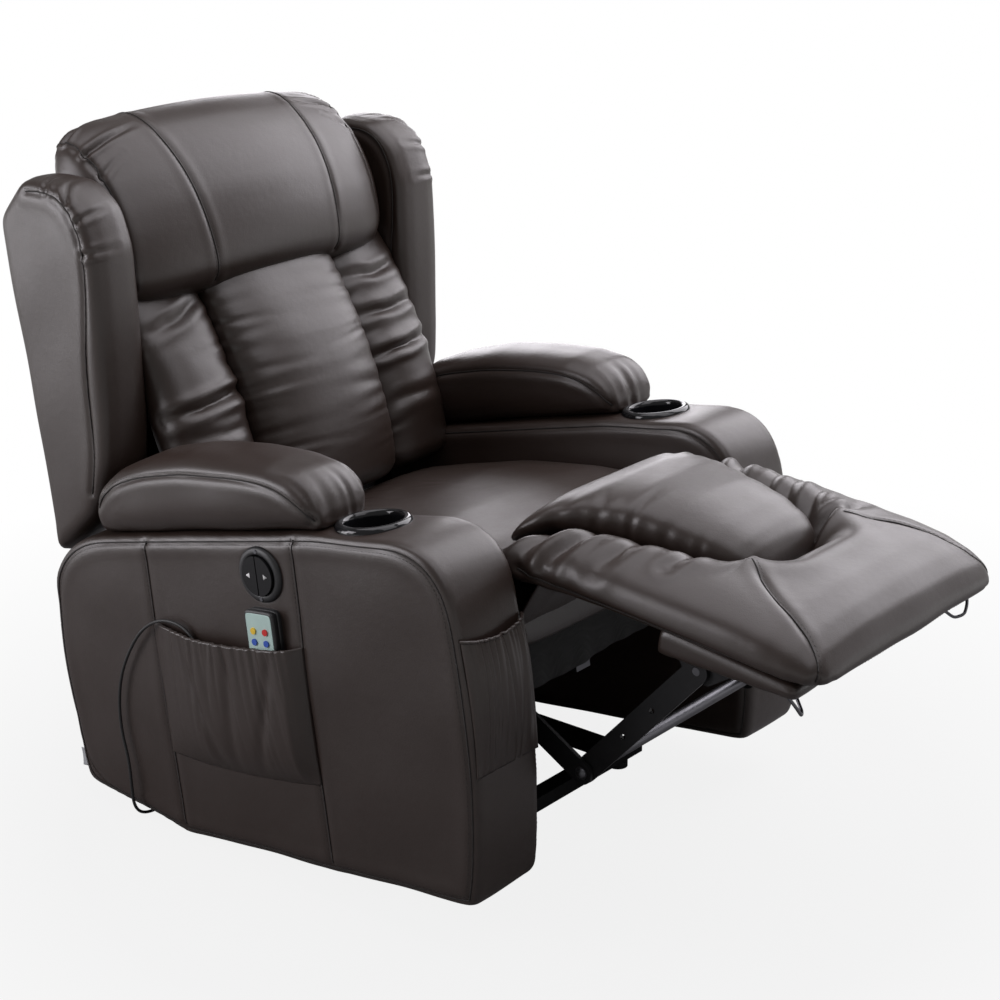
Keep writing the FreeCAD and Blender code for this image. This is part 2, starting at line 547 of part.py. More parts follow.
def back_pieces():
    """Board, rails, hinge plates, rear panel and massage motors of the back."""
    board = block("board", ("2 * board_half", "board_thick", "board_long"), ("-board_half", "0", "0"))
    keep(group("board_group", [board]), "back_board", LEAN)
    rails = [block(f"back_{up}", ("2 * cross_rail_half", "cross_rail_deep", "cross_rail_high"),
                   ("-cross_rail_half", "board_thick", up)) for up in ("lower_rail_up", "upper_rail_up")]
    keep(group("back_rail_group", rails), "back_rails", LEAN)
    pin_y = ("(back_pin_back - board_foot_back) * cos(back_lean * 1 deg)"
             " - (back_pin_high - board_foot_high) * sin(back_lean * 1 deg)")
    pin_z = ("(back_pin_back - board_foot_back) * sin(back_lean * 1 deg)"
             " + (back_pin_high - board_foot_high) * cos(back_lean * 1 deg)")
    plates = []
    for side, sign in SIDES:
        outline = [(f"{pin_y} - hinge_plate_wide / 2", f"{pin_z} - hinge_plate_wide / 2"),
                   (f"{pin_y} + hinge_plate_wide / 2", f"{pin_z} - hinge_plate_wide / 2"),
                   (f"{pin_y} + hinge_plate_wide / 2", f"{pin_z} + hinge_plate_wide / 2"),
                   ("board_thick + hinge_plate_wide", "hinge_plate_up"), ("board_thick", "hinge_plate_up"),
                   ("board_thick", "0")]
        plates.append(slab(f"hinge_{side}", outline,
                           low_side(sign, "plate_side - plate_thick - plate_gap", "plate_thick"), "plate_thick",
                           holes=[(pin_y, pin_z, "back_pin_radius + running_gap")]))
    keep(group("hinge_group", plates), "back_hinge_plates", LEAN)
    motors = [rod(f"motor_{side}_{up}", "motor_radius", "motor_high",
                  (f"{sign} * motor_side", "board_thick", f"({up}) + cross_rail_high + motor_radius * 2"), "y")
              for side, sign in SIDES for up in ("0", "lower_rail_up")]
    keep(group("motor_group", motors), "massage_motors", LEAN)
    panel = [("-board_half", "rear_panel_low"), ("board_half", "rear_panel_low"),
             ("board_half", "panel_waist_high"), ("cross_rail_half", "panel_hip_high"),
             ("cross_rail_half", "rear_panel_top", "panel_bulge"), ("-cross_rail_half", "rear_panel_top"),
             ("-cross_rail_half", "panel_hip_high"), ("-board_half", "panel_waist_high")]
    keep(slab("rear_cover", panel, "-rear_panel_back - rear_panel_thick", "rear_panel_thick", "XZ_Plane"),
         "back_rear_panel", BODY)


def back_cushions():
    """Lumbar pad, bolsters, head cushion and wings."""
    gap = number("soft_gap")
    half = number("lumbar_half")
    deep = number("lumbar_deep")
    crown = number("lumbar_crown")
    up = number("lumbar_up")
    stations = [(share * up + 10, half - narrow, gap, deep - less, deep - less + crown, -2)
                for share, less, narrow in LUMBAR_TAPER]
    keep(pillow("lumbar", stations, lean_space), "lumbar_pad", LEAN)
    outer = number("board_half + bolster_over")
    deep = number("bolster_deep")
    for side, sign in SIDES:
        half = (outer - number("lumbar_half")) / 2 - gap * 2 - number("bolster_ease")
        centre = sign * (outer + number("lumbar_half")) / 2
        stations = [(share * up + 10, half - narrow, gap, deep - less - 22, deep - less, -1.5)
                    for share, less, narrow in BOLSTER_TAPER]
        keep(pillow(f"bolster_side_{side}", stations, lean_space, centre), f"bolster_{side}", LEAN)
    half = number("head_half")
    deep = number("head_deep")
    low = number("head_low")
    high = number("head_up")
    stations = [(low + share * (high - low), half - narrow, gap, deep - less - 30, deep - less, 2)
                for share, less, narrow in HEAD_TAPER]
    keep(pillow("head", stations, lean_space), "head_cushion", LEAN)
    outline = [("wing_rear - wing_heel_in", "shoulder_top - wing_heel_drop"),
               ("wing_rear", "wing_top - wing_nape", "wing_rear_bulge"),
               ("wing_rear - wing_top_in", "wing_top", "wing_top_bulge"),
               ("wing_front + wing_brow_in", "wing_top - wing_brow", "wing_brow_bulge"),
               ("wing_front + wing_waist_in", "wing_top - wing_waist"),
               ("wing_front + wing_hip_in", "wing_top - wing_hip"),
               ("shoulder_front + wing_toe_back", "shoulder_top + wing_toe_lift")]
    for side, sign in SIDES:
        wing = slab(f"wing_solid_{side}", outline, low_side(sign, "cross_rail_half", "wing_wide"), "wing_wide")
        keep(wing, f"wing_{side}", BODY)


FOOT_Y = "-reach_front * cos(rest_slope * 1 deg) - reach_drop * sin(rest_slope * 1 deg)"
FOOT_Z = "reach_front * sin(rest_slope * 1 deg) - reach_drop * cos(rest_slope * 1 deg)"


def footrest_pieces():
    """Board, brackets, pins, wire hooks and cushions of the footrest."""
    board = [("board_rear", "board_rear_low"), ("board_rear", "rest_low - soft_gap"),
             ("board_front", "rest_low - soft_gap"), ("board_front", "board_front_low")]
    keep(slab("rest_board", board, "-board_side", "2 * board_side"), "footrest_board", REST)
    slope = "(board_front_low - board_rear_low) / (board_rear - board_front)"
    top_rear = f"board_rear_low + ({slope}) * bracket_inset"
    top_front = f"board_rear_low + ({slope}) * (bracket_inset + bracket_long)"
    brackets = []
    for side, sign in SIDES:
        start = low_side(sign, "crank_side - 2 * link_thick - 2 * plate_gap", "link_thick")
        outline = [("board_rear - bracket_inset", top_rear),
                   ("board_rear - bracket_inset - bracket_long", top_front),
                   (f"{FOOT_Y} - link_half", f"{FOOT_Z} - link_half"),
                   (f"{FOOT_Y} + link_half", f"{FOOT_Z} - link_half")]
        brackets.append(slab(f"rest_bracket_{side}", outline, start, "link_thick",
                             holes=[(FOOT_Y, FOOT_Z, "foot_pin_radius + running_gap")]))
    keep(group("rest_bracket_group", brackets), "footrest_brackets", REST)
    length = "2 * link_thick + plate_gap"
    pins = [rod(f"foot_pin_{side}", "foot_pin_radius", length,
                (low_side(sign, "crank_side - 2 * link_thick - 2 * plate_gap", length), FOOT_Y, FOOT_Z))
            for side, sign in SIDES]
    keep(group("foot_pin_group", pins), "footrest_pins", REST)
    half = number("rest_half")
    low = number("rest_low")
    crest = number("rest_crest")
    front = number("rest_front")
    rear = number("rest_rear")
    stations = [(front + share * (rear - front), half - narrow, low, crest - less - 26, crest - less, 3)
                for share, less, narrow in REST_TAPER]
    shell = pillow("rest_shell", stations, seat_space)
    hole = block("rest_hole", ("2 * rest_pad_half", "rest_rear - rest_pad_front + cut_over",
                               "rest_crest - rest_low + 3 * cut_over"),
                 ("-rest_pad_half", "rest_pad_front", "rest_low - cut_over"))
    keep(cut("rest_border", shell, hole), "footrest_border", REST)
    half = number("rest_pad_half - soft_gap")
    front = number("rest_pad_front + soft_gap")
    stations = [(front + share * (rear - front), half - narrow, low, crest - less - 20, crest - less, -2)
                for share, less, narrow in REST_PAD_TAPER]
    keep(pillow("rest_pad", stations, seat_space), "footrest_pad", REST)


def linkage():
    """Cranks, push links and cross tubes that carry the footrest."""
    knee = ("crank_back - reach_front", "crank_high - reach_drop")
    reach = "hypot(reach_front; reach_drop)"
    cranks = []
    links = []
    for side, sign in SIDES:
        outline = link_outline(("crank_back", "crank_high"), knee, reach)
        cranks.append(slab(f"crank_{side}", outline, low_side(sign, "crank_side", "link_thick"), "link_thick",
                           holes=[("crank_back", "crank_high", "tube_radius + running_gap"),
                                  (*knee, "knee_radius + running_gap")]))
        foot = ("fold_back - reach_front", "fold_high - reach_drop")
        span = "hypot(crank_back - fold_back; fold_high - crank_high)"
        outline = link_outline(knee, foot, span)
        holes = [(*knee, "knee_radius + running_gap"), (*foot, "foot_pin_radius + running_gap")]
        for share in (0.36, 0.62):
            holes.append((f"({knee[0]}) * {1 - share} + ({foot[0]}) * {share}",
                          f"({knee[1]}) * {1 - share} + ({foot[1]}) * {share}", "link_hole / 2"))
        start = low_side(sign, "crank_side - link_thick - plate_gap", "link_thick")
        links.append(slab(f"link_{side}", outline, start, "link_thick", holes=holes))
    keep(group("crank_group", cranks), "cranks", BODY)
    keep(group("link_group", links), "push_links", BODY)
    half = "crank_side + link_thick"
    tube = rod("knee_tube_solid", "knee_radius", f"2 * ({half})", (f"-({half})", *knee))
    keep(group("knee_group", [tube]), "knee_tube", BODY)


def link_outline(first, last, reach):
    """Straight strap with pointed-round ends between two pins, as six corners with arched ends."""
    along = (f"(({last[0]}) - ({first[0]})) / ({reach}) * link_half",
             f"(({last[1]}) - ({first[1]})) / ({reach}) * link_half")
    corners = []
    for (y, z), turn in ((first, -1), (last, 1)):
        corners.append((f"{y} + {turn} * ({along[1]})", f"{z} - {turn} * ({along[0]})", "link_half * 0.98"))
        corners.append((f"{y} - {turn} * ({along[1]})", f"{z} + {turn} * ({along[0]})"))
    return corners


GLAND = ("-box_side - box_wide / 2", "rear_rail_front - box_deep / 2")


def drive():
    """Motor, guide tube, rod with its slotted yoke, lever and control box."""
    axis_high = "crank_high - axis_drop"
    body = block("drive_block", ("2 * drive_half", "rear_rail_front - drive_front", "drive_high"),
                 ("-drive_half", "drive_front", f"{axis_high} - drive_high / 2"))
    bore = rod("drive_bore", "rod_radius + plate_gap", "rear_rail_front - drive_front - drive_wall + cut_over",
               ("0", "drive_front - cut_over", axis_high), "y")
    keep(cut("drive_cut", body, bore), "drive_motor", BODY)
    guide = rod("guide_tube", "guide_radius", "drive_front - guide_front", ("0", "guide_front", axis_high), "y")
    inside = rod("guide_bore", "rod_radius + running_gap", "drive_front - guide_front + 2 * cut_over",
                 ("0", "guide_front - cut_over", axis_high), "y")
    keep(cut("guide_cut", guide, inside), "drive_guide", BODY)
    tip = ("crank_back + lever_long * cos(lever_angle * 1 deg)",
           "crank_high + lever_long * sin(lever_angle * 1 deg)")
    yoke_back = f"{tip[0]} + lever_pin_radius + slot_gap"
    bar = rod("drive_bar", "rod_radius", f"rod_rear - ({yoke_back}) - yoke_thick",
              ("0", f"{yoke_back} + yoke_thick", axis_high), "y")
    yoke = block("yoke_block", ("yoke_wide", "2 * (lever_pin_radius + slot_gap + yoke_thick)",
                                "2 * yoke_half_high"),
                 ("-yoke_wide / 2", f"{tip[0]} - lever_pin_radius - slot_gap - yoke_thick",
                  f"{axis_high} - yoke_half_high"))
    slot = block("yoke_slot", ("yoke_wide + 2 * cut_over", "2 * (lever_pin_radius + slot_gap)",
                               "2 * (yoke_half_high - yoke_thick)"),
                 ("-yoke_wide / 2 - cut_over", f"{tip[0]} - lever_pin_radius - slot_gap",
                  f"{axis_high} - yoke_half_high + yoke_thick"))
    keep(fuse("drive_rod_whole", [bar, cut("yoke", yoke, slot)]), "drive_rod", BODY)
    half = "plate_side + plate_thick - running_gap"
    weld = [rod("torque", "tube_radius", f"2 * ({half})", (f"-({half})", "crank_back", "crank_high"))]
    for side, sign in SIDES:
        start = low_side(sign, "yoke_wide / 2 + plate_gap", "lever_thick")
        outline = link_outline(("crank_back", "crank_high"), tip, "lever_long")
        weld.append(slab(f"lever_{side}", outline, start, "lever_thick"))
    half = "yoke_wide / 2 + plate_gap + lever_thick"
    weld.append(rod("lever_pin", "lever_pin_radius", f"2 * ({half})", (f"-({half})", *tip)))
    keep(fuse("torque_weld", weld), "torque_tube", BODY)
    box = block("control", ("box_wide", "box_deep", "box_high"),
                ("-box_side - box_wide", "rear_rail_front - box_deep", "plate_low + box_lift"))
    gland = rod("gland", "gland_radius", "gland_long + plate_gap",
                (*GLAND, "plate_low + box_lift - gland_long"), "z")
    keep(fuse("control_whole", [box, gland]), "control_box", BODY)
    inlet = block("inlet", ("box_wide / 2", "box_deep / 2", "box_high / 2"),
                  ("-box_side - box_wide", "rear_rail_front + rear_rail_deep", "plate_low + box_lift"))
    keep(group("inlet_group", [inlet]), "power_inlet", BODY)


# Route of the handset's cord: down in the pocket, out over its hem, to the floor and in under the arm.
CORD_ROUTE = [
    (-425, -85, 240), (-425, -85, 212), (-428, -66, 184), (-429, -32, 176), (-430, 4, 196), (-430, 30, 236),
    (-428, 46, 284), (-427, 60, 330), (-427, 88, 363), (-430, 134, 370), (-430, 182, 348), (-429, 222, 306),
    (-428, 252, 260), (-427, 268, 212), (-427, 272, 164), (-428, 264, 118), (-429, 266, 72), (-427, 270, 38),
    (-410, 271, 19), (-374, 267, 18), (-330, 255, 18), (-286, 242, 19), (-250, 228, 38), (-222, 208, 82),
    (-188, 184, 128), (-154, 160, 166), (-126, 132, 192), (-120, 125, 220), (-120, 125, 243),
]
CORNER_SHARE = 0.45


def handset_cord():
    """Limp round cord from the handset to the gland, as runs joined by tangent arcs."""
    points = [FreeCAD.Vector(*spot) for spot in CORD_ROUTE]
    points[0] = FreeCAD.Vector(number("-arm_inner - arm_wide - handset_shell"), number("handset_back"),
                               number("handset_low"))
    points[-1] = FreeCAD.Vector(number(GLAND[0]), number(GLAND[1]), number("plate_low + box_lift - gland_long"))
    edges = []
    radii = []
    start = points[0]
    for before, corner, after in zip(points, points[1:], points[2:]):
        back = before - corner
        ahead = after - corner
        trim = CORNER_SHARE * min(back.Length, ahead.Length)
        back.normalize()
        ahead.normalize()
        half_turn = (math.pi - back.getAngle(ahead)) / 2
        radius = trim / math.tan(half_turn)
        radii.append(round(radius))
        inward = (back + ahead).normalize()
        middle = corner + inward * (radius / math.cos(half_turn) - radius)
        edges.append(Part.LineSegment(start, corner + back * trim).toShape())
        edges.append(Part.Arc(corner + back * trim, middle, corner + ahead * trim).toShape())
        start = corner + ahead * trim
    edges.append(Part.LineSegment(start, points[-1]).toShape())
    path = Part.Wire(edges)
    radius = number("cord_radius")
    section = Part.Wire(Part.Circle(points[0], points[1] - points[0], radius).toShape())
    tube = doc.addObject("Part::Feature", "cord_tube")
    tube.Shape = path.makePipeShell([section], True, False)
    print("cord length", round(path.Length), "radii", radii,
          "volume share", round(tube.Shape.Volume / (math.pi * radius ** 2 * path.Length), 4))
    keep(tube, "handset_cord", BODY)


floor_frame_pieces()
seat_frame_pieces()
seat_cushion()
arms()
side_pocket()
arm_switch()
handset()
back_pieces()
back_cushions()
footrest_pieces()
linkage()
drive()
handset_cord()
doc.recompute()

for item in doc.Objects:
    if "Invalid" in item.State or "Error" in item.State:
        raise RuntimeError(f"{item.Label} failed: {item.State}")
for item in PARTS:
    if item.Shape.isNull() or not item.Shape.isValid() or not item.Shape.Solids:
        raise RuntimeError(f"{item.Label} has no sound solid")

os.makedirs("parts", exist_ok=True)
for item in PARTS:
    item.Shape.exportStep(f"parts/{item.Label}.step")
whole = Part.makeCompound([item.Shape for item in PARTS]).BoundBox
print(len(PARTS), "sub-parts", whole)
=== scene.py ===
"""Dresses the electric recliner: leather upholstery, fittings, cord, studio and camera."""
import json
import logging
import math
from dataclasses import dataclass, replace
from enum import Enum
from typing import Callable, Optional, Sequence

import bpy
import numpy as np
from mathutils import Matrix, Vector
from mathutils.kdtree import KDTree


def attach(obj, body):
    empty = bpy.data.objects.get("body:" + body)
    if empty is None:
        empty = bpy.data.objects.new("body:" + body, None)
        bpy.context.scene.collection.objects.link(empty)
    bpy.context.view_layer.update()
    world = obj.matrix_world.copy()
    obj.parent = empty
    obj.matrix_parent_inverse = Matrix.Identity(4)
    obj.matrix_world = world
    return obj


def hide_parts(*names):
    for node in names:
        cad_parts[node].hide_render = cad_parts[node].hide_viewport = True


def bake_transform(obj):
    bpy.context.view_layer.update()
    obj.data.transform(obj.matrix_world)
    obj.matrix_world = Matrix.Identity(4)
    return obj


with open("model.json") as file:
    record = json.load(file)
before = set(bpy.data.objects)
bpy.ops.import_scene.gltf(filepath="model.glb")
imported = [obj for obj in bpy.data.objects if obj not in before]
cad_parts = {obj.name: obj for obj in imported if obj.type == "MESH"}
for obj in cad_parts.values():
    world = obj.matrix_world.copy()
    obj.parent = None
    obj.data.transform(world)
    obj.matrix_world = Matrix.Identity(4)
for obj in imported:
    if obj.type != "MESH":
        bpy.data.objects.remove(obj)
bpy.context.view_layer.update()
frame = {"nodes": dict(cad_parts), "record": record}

LOG = logging.getLogger("recliner")
MM = 0.001
TINY = 1e-9
SWITCH = (-85.0, 460.0)
Array = np.ndarray
Relief = Callable[[Array, Array], Array]


class Side(Enum):
    """The sitter's right and left, with the sign of X."""

    R = -1
    L = 1


class Axis(Enum):
    """Ways that a turned shape can stand."""

    UP = "up"
    OUT = "out"


class Body(Enum):
    """Moving bodies that pieces ride on."""

    SEAT = "seat_unit"
    BACK = "backrest"
    FOOT = "footrest"
    CRANK = "crank"
    LINKS = "push_link_pair"
    KEY_FORWARD = "key_forward"
    KEY_BACK = "key_back"


@dataclass(frozen=True)
class Place:
    """A frame turned about X; millimetres, y backwards and z up."""

    back: float
    high: float
    turn: float

    def then(self, back: float, high: float, turn: float) -> "Place":
        """Frame that stands inside this one.

        Args:
            back: Its origin backwards in this frame.
            high: Its origin upwards in this frame.
            turn: Its own turn in degrees, positive lowers the rear.

        Returns:
            The frame as seen from the floor.
        """
        c = math.cos(math.radians(self.turn))
        s = math.sin(math.radians(self.turn))
        return Place(self.back + c * back + s * high, self.high - s * back + c * high, self.turn + turn)

    def row(self, points: Sequence) -> Array:
        """Moves points from this frame to the part's own.

        Args:
            points: Points of this frame in millimetres.

        Returns:
            The same points of the part in metres.
        """
        p = np.asarray(points, dtype=float)
        c = math.cos(math.radians(self.turn))
        s = math.sin(math.radians(self.turn))
        y = self.back + c * p[..., 1] + s * p[..., 2]
        z = self.high - s * p[..., 1] + c * p[..., 2]
        return np.stack([p[..., 0], y, z], axis=-1) * MM


UPRIGHT = Place(231.0, 110.0, 7.67).then(-68.0, -97.0, 0.0)
LEAN = UPRIGHT.then(235.0, 440.0, 12.0)
REST = UPRIGHT.then(-462.0, 501.0, -15.36)


# Shaders


class Sock:
    """A shader socket on which arithmetic adds Math nodes."""

    def __init__(self, graph: "Graph", socket: bpy.types.NodeSocket) -> None:
        """Wraps one output socket of a graph."""
        self.graph = graph
        self.socket = socket

    def _math(self, operation: str, first: object, second: object) -> "Sock":
        """One Math node on two values or sockets."""
        return self.graph.node("ShaderNodeMath", {"operation": operation}, {0: first, 1: second})

    def __add__(self, other: object) -> "Sock":
        """Sum."""
        return self._math("ADD", self, other)

    def __sub__(self, other: object) -> "Sock":
        """Difference."""
        return self._math("SUBTRACT", self, other)

    def __mul__(self, other: object) -> "Sock":
        """Product."""
        return self._math("MULTIPLY", self, other)


class Graph:
    """The nodes of a material or of the world."""

    def __init__(self, name: str, shelf: Optional[bpy.types.bpy_prop_collection] = None) -> None:
        """Starts an empty node tree.

        Args:
            name: Name of the material or world.
            shelf: Where it is kept, among the materials unless given.
        """
        self.owner = (bpy.data.materials if shelf is None else shelf).new(name)
        self.owner.use_nodes = True
        self.tree = self.owner.node_tree
        self.tree.nodes.clear()

    def node(self, kind: str, settings: Optional[dict] = None, sockets: Optional[dict] = None,
             output: object = 0) -> Sock:
        """Adds any node.

        Args:
            kind: Node type.
            settings: Properties, set before the sockets.
            sockets: Values or links by input name or number.
            output: Output name or number to hand on.

        Returns:
            The wrapped output socket.
        """
        made = self.tree.nodes.new(kind)
        for key, value in (settings or {}).items():
            setattr(made, key, value)
        for key, value in (sockets or {}).items():
            if isinstance(value, Sock):
                self.tree.links.new(value.socket, made.inputs[key])
            else:
                made.inputs[key].default_value = value
        outputs = made.outputs
        return Sock(self, outputs[output]) if len(outputs) else Sock(self, made.inputs[0])

    def ray(self, kind: str) -> Sock:
        """One where the ray that looks is of the kind named."""
        return self.node("ShaderNodeLightPath", output=f"Is {kind} Ray")

    def where(self) -> Sock:
        """The point on the piece in its own coordinates."""
        return self.node("ShaderNodeTexCoord", output="Object")

    def noise(self, scale: float, detail: float = 4.0, rough: float = 0.55,
              stretch: Optional[Sequence] = None) -> Sock:
        """Fractal noise on the piece.

        Args:
            scale: Bumps per metre.
            detail: Octaves.
            rough: How strong the small octaves are.
            stretch: Optional scale along each axis.

        Returns:
            Noise from 0 to 1.
        """
        at = self.where()
        if stretch is not None:
            at = self.node("ShaderNodeMapping", None, {"Vector": at, "Scale": tuple(stretch)})
        return self.node("ShaderNodeTexNoise", None, {"Vector": at, "Scale": scale, "Detail": detail,
                                                      "Roughness": rough}, "Fac")

    def mix(self, share: object, first: object, second: object) -> Sock:
        """Colour between two colours."""
        return self.node("ShaderNodeMix", {"data_type": "RGBA"}, {0: share, 6: first, 7: second}, 2)

    def bump(self, height: Sock, depth: float, below: Optional[Sock] = None) -> Sock:
        """Adds a bump.

        Args:
            height: Height from 0 to 1.
            depth: Depth in metres.
            below: Normal of another bump that it lies on.

        Returns:
            The bumped normal.
        """
        sockets = {"Height": height, "Strength": 1.0, "Distance": depth}
        if below is not None:
            sockets["Normal"] = below
        return self.node("ShaderNodeBump", None, sockets, "Normal")

    def surface(self, sockets: dict) -> bpy.types.Material:
        """Ends the graph with a Principled shader.

        Args:
            sockets: Values or links of the shader by name.

        Returns:
            The finished material.
        """
        shader = self.node("ShaderNodeBsdfPrincipled", None, sockets)
        self.node("ShaderNodeOutputMaterial", None, {"Surface": shader})
        return self.owner


def rgba(colour: Sequence[float], scale: float = 1.0) -> tuple:
    """Colour with full alpha, brightened or dimmed."""
    return (colour[0] * scale, colour[1] * scale, colour[2] * scale, 1.0)


@dataclass(frozen=True)
class Leather:
    """Smooth coated leather with a fine pebble, soft creases and a satin shine."""

    name: str = "brown_leather"
    colour: tuple = (0.0275, 0.0170, 0.0131)
    shine: float = 0.37
    patches: float = 5.0
    streaks: float = 26.0
    creases: float = 75.0
    pebbles: float = 900.0
    crease_depth: float = 0.0003
    pebble_depth: float = 0.0001

    def material(self) -> bpy.types.Material:
        """Builds the finish.

        Returns:
            Its node material.
        """
        g = Graph(self.name)
        broad = g.noise(self.patches, 3.0)
        streak = g.noise(self.streaks, 5.0)
        crease = g.noise(self.creases, 6.0, 0.62)
        cells = g.node("ShaderNodeTexVoronoi", {"feature": "SMOOTH_F1"},
                       {"Vector": g.where(), "Scale": self.pebbles, "Smoothness": 0.6}, "Distance")
        tone = g.mix(broad * 0.6 + streak * 0.4, rgba(self.colour, 0.82), rgba(self.colour, 1.22))
        tint = g.mix(cells * 0.7, tone, rgba(self.colour, 0.66))
        rough = (streak - 0.5) * 0.10 + (cells - 0.4) * 0.10 + (broad - 0.5) * 0.06 + self.shine
        relief = g.bump(cells, self.pebble_depth, g.bump(crease, self.crease_depth))
        return g.surface({"Base Color": tint, "Roughness": rough, "Normal": relief,
                          "Specular IOR Level": 0.62})


@dataclass(frozen=True)
class Thread:
    """Twisted sewing thread; the same dark finish on the seams' groove tubes paints the shade in the
    grooves.
    """

    name: str = "dark_thread"
    colour: tuple = (0.008, 0.006, 0.005)

    def material(self) -> bpy.types.Material:
        """Builds the finish.

        Returns:
            Its node material.
        """
        g = Graph(self.name)
        twist = g.node("ShaderNodeTexWave", {"bands_direction": "DIAGONAL"},
                       {"Vector": g.where(), "Scale": 900.0}, "Fac")
        return g.surface({"Base Color": g.mix(twist, rgba(self.colour), rgba(self.colour, 2.2)),
                          "Roughness": 0.62, "Normal": g.bump(twist, 0.0002)})


@dataclass(frozen=True)
class Metal:
    """Painted or bright steel with faint scratches and dust."""

    name: str
    colour: tuple
    metallic: float
    rough: float

    def material(self) -> bpy.types.Material:
        """Builds the finish.

        Returns:
            Its node material.
        """
        g = Graph(self.name)
        dust = g.noise(35.0, 6.0, 0.65)
        scratch = g.noise(60.0, 3.0, 0.6, (1.0, 9.0, 9.0))
        tone = g.mix(dust, rgba(self.colour, 0.75), rgba(self.colour, 1.3))
        rough = (dust - 0.5) * 0.22 + (scratch - 0.5) * 0.12 + self.rough
        return g.surface({"Base Color": tone, "Metallic": self.metallic, "Roughness": rough,
                          "Normal": g.bump(g.noise(420.0, 3.0), 0.00012)})


@dataclass(frozen=True)
class Plastic:
    """Moulded plastic, from satin to polished."""

    name: str
    colour: tuple
    rough: float
    texture: float = 0.00006

    def material(self) -> bpy.types.Material:
        """Builds the finish.

        Returns:
            Its node material.
        """
        g = Graph(self.name)
        soft = g.noise(40.0, 4.0)
        tone = g.mix(soft, rgba(self.colour, 0.88), rgba(self.colour, 1.12))
        rough = (soft - 0.5) * 0.10 + self.rough
        return g.surface({"Base Color": tone, "Roughness": rough,
                          "Normal": g.bump(g.noise(1500.0, 2.0), self.texture)})


@dataclass(frozen=True)
class Wood:
    """Sawn frame timber."""

    name: str = "frame_wood"
    # Darker than the pale ply of a real frame: painted shade where the frame shows in the gaps between
    # parts.
    colour: tuple = (0.075, 0.048, 0.03)

    def material(self) -> bpy.types.Material:
        """Builds the finish.

        Returns:
            Its node material.
        """
        g = Graph(self.name)
        rings = g.noise(14.0, 5.0, 0.6, (6.0, 1.0, 6.0))
        pores = g.noise(240.0, 3.0, 0.6, (1.0, 0.06, 1.0))
        tone = g.mix(rings, rgba(self.colour, 0.6), rgba(self.colour, 1.15))
        return g.surface({"Base Color": tone, "Roughness": pores * 0.2 + 0.55,
                          "Normal": g.bump(pores, 0.0003)})


@dataclass(frozen=True)
class Webbing:
    """Woven elastic webbing."""

    name: str = "seat_web"
    colour: tuple = (0.05, 0.045, 0.04)

    def material(self) -> bpy.types.Material:
        """Builds the finish.

        Returns:
            Its node material.
        """
        g = Graph(self.name)
        across = g.node("ShaderNodeTexWave", {"bands_direction": "X"},
                        {"Vector": g.where(), "Scale": 120.0}, "Fac")
        along = g.node("ShaderNodeTexWave", {"bands_direction": "Y"}, {"Vector": g.where(), "Scale": 160.0},
                       "Fac")
        weave = across * along
        return g.surface({"Base Color": g.mix(weave, rgba(self.colour, 0.6), rgba(self.colour, 1.6)),
                          "Roughness": 0.8, "Normal": g.bump(weave, 0.0006)})


class Finishes:
    """All finishes, made once and handed out by slot name."""

    def __init__(self) -> None:
        """Makes every material."""
        kinds = [Leather(), Thread(), Wood(), Webbing(), Webbing("black_cloth", (0.008, 0.008, 0.008)),
                 Metal("black_steel", (0.012, 0.012, 0.013), 0.35, 0.42),
                 Metal("bright_steel", (0.13, 0.13, 0.14), 1.0, 0.42),
                 Plastic("gloss_black", (0.006, 0.006, 0.007), 0.10, 0.00001),
                 Plastic("matte_black", (0.014, 0.014, 0.015), 0.45),
                 Plastic("handset_face", (0.42, 0.56, 0.52), 0.35),
                 Plastic("button_red", (0.55, 0.02, 0.02), 0.35),
                 Plastic("button_yellow", (0.75, 0.50, 0.04), 0.35),
                 Plastic("button_blue", (0.03, 0.09, 0.42), 0.35),
                 Plastic("print_white", (0.75, 0.75, 0.74), 0.4),
                 Plastic("cord_black", (0.012, 0.012, 0.012), 0.5),
                 Plastic("tag_grey", (0.30, 0.31, 0.32), 0.7)]
        self.by_name = {kind.name: kind.material() for kind in kinds}

    def __getitem__(self, name: str) -> bpy.types.Material:
        """Material of a slot or trim."""
        return self.by_name[name]


# Meshes


def unit(vectors: Array) -> Array:
    """Vectors drawn out to length one."""
    return vectors / np.maximum(np.linalg.norm(vectors, axis=1, keepdims=True), TINY)


def travelled(path: Array) -> Array:
    """Distance along a line to each of its points."""
    return np.concatenate([[0.0], np.cumsum(np.linalg.norm(np.diff(path, axis=0), axis=1))])


def eased(ring: Array, rounds: int) -> Array:
    """Softens a closed outline.

    Args:
        ring: Points of the outline.
        rounds: How often each point moves towards its neighbours.

    Returns:
        The softer outline.
    """
    for _ in range(rounds):
        ring = ring + 0.25 * (np.roll(ring, 1, axis=0) + np.roll(ring, -1, axis=0) - 2.0 * ring)
    return ring


def dome(value: Array, middle: float, reach: float) -> Array:
    """One at a middle, falling to nothing at a reach on both sides."""
    return np.clip(1.0 - ((value - middle) / reach) ** 2, 0.0, 1.0)


def linked(name: str, data: bpy.types.ID) -> bpy.types.Object:
    """Puts a new object in the scene.

    Args:
        name: Name of the object.
        data: Its mesh, curve, lamp or camera.

    Returns:
        The object.
    """
    made = bpy.data.objects.new(name, data)
    bpy.context.scene.collection.objects.link(made)
    return made


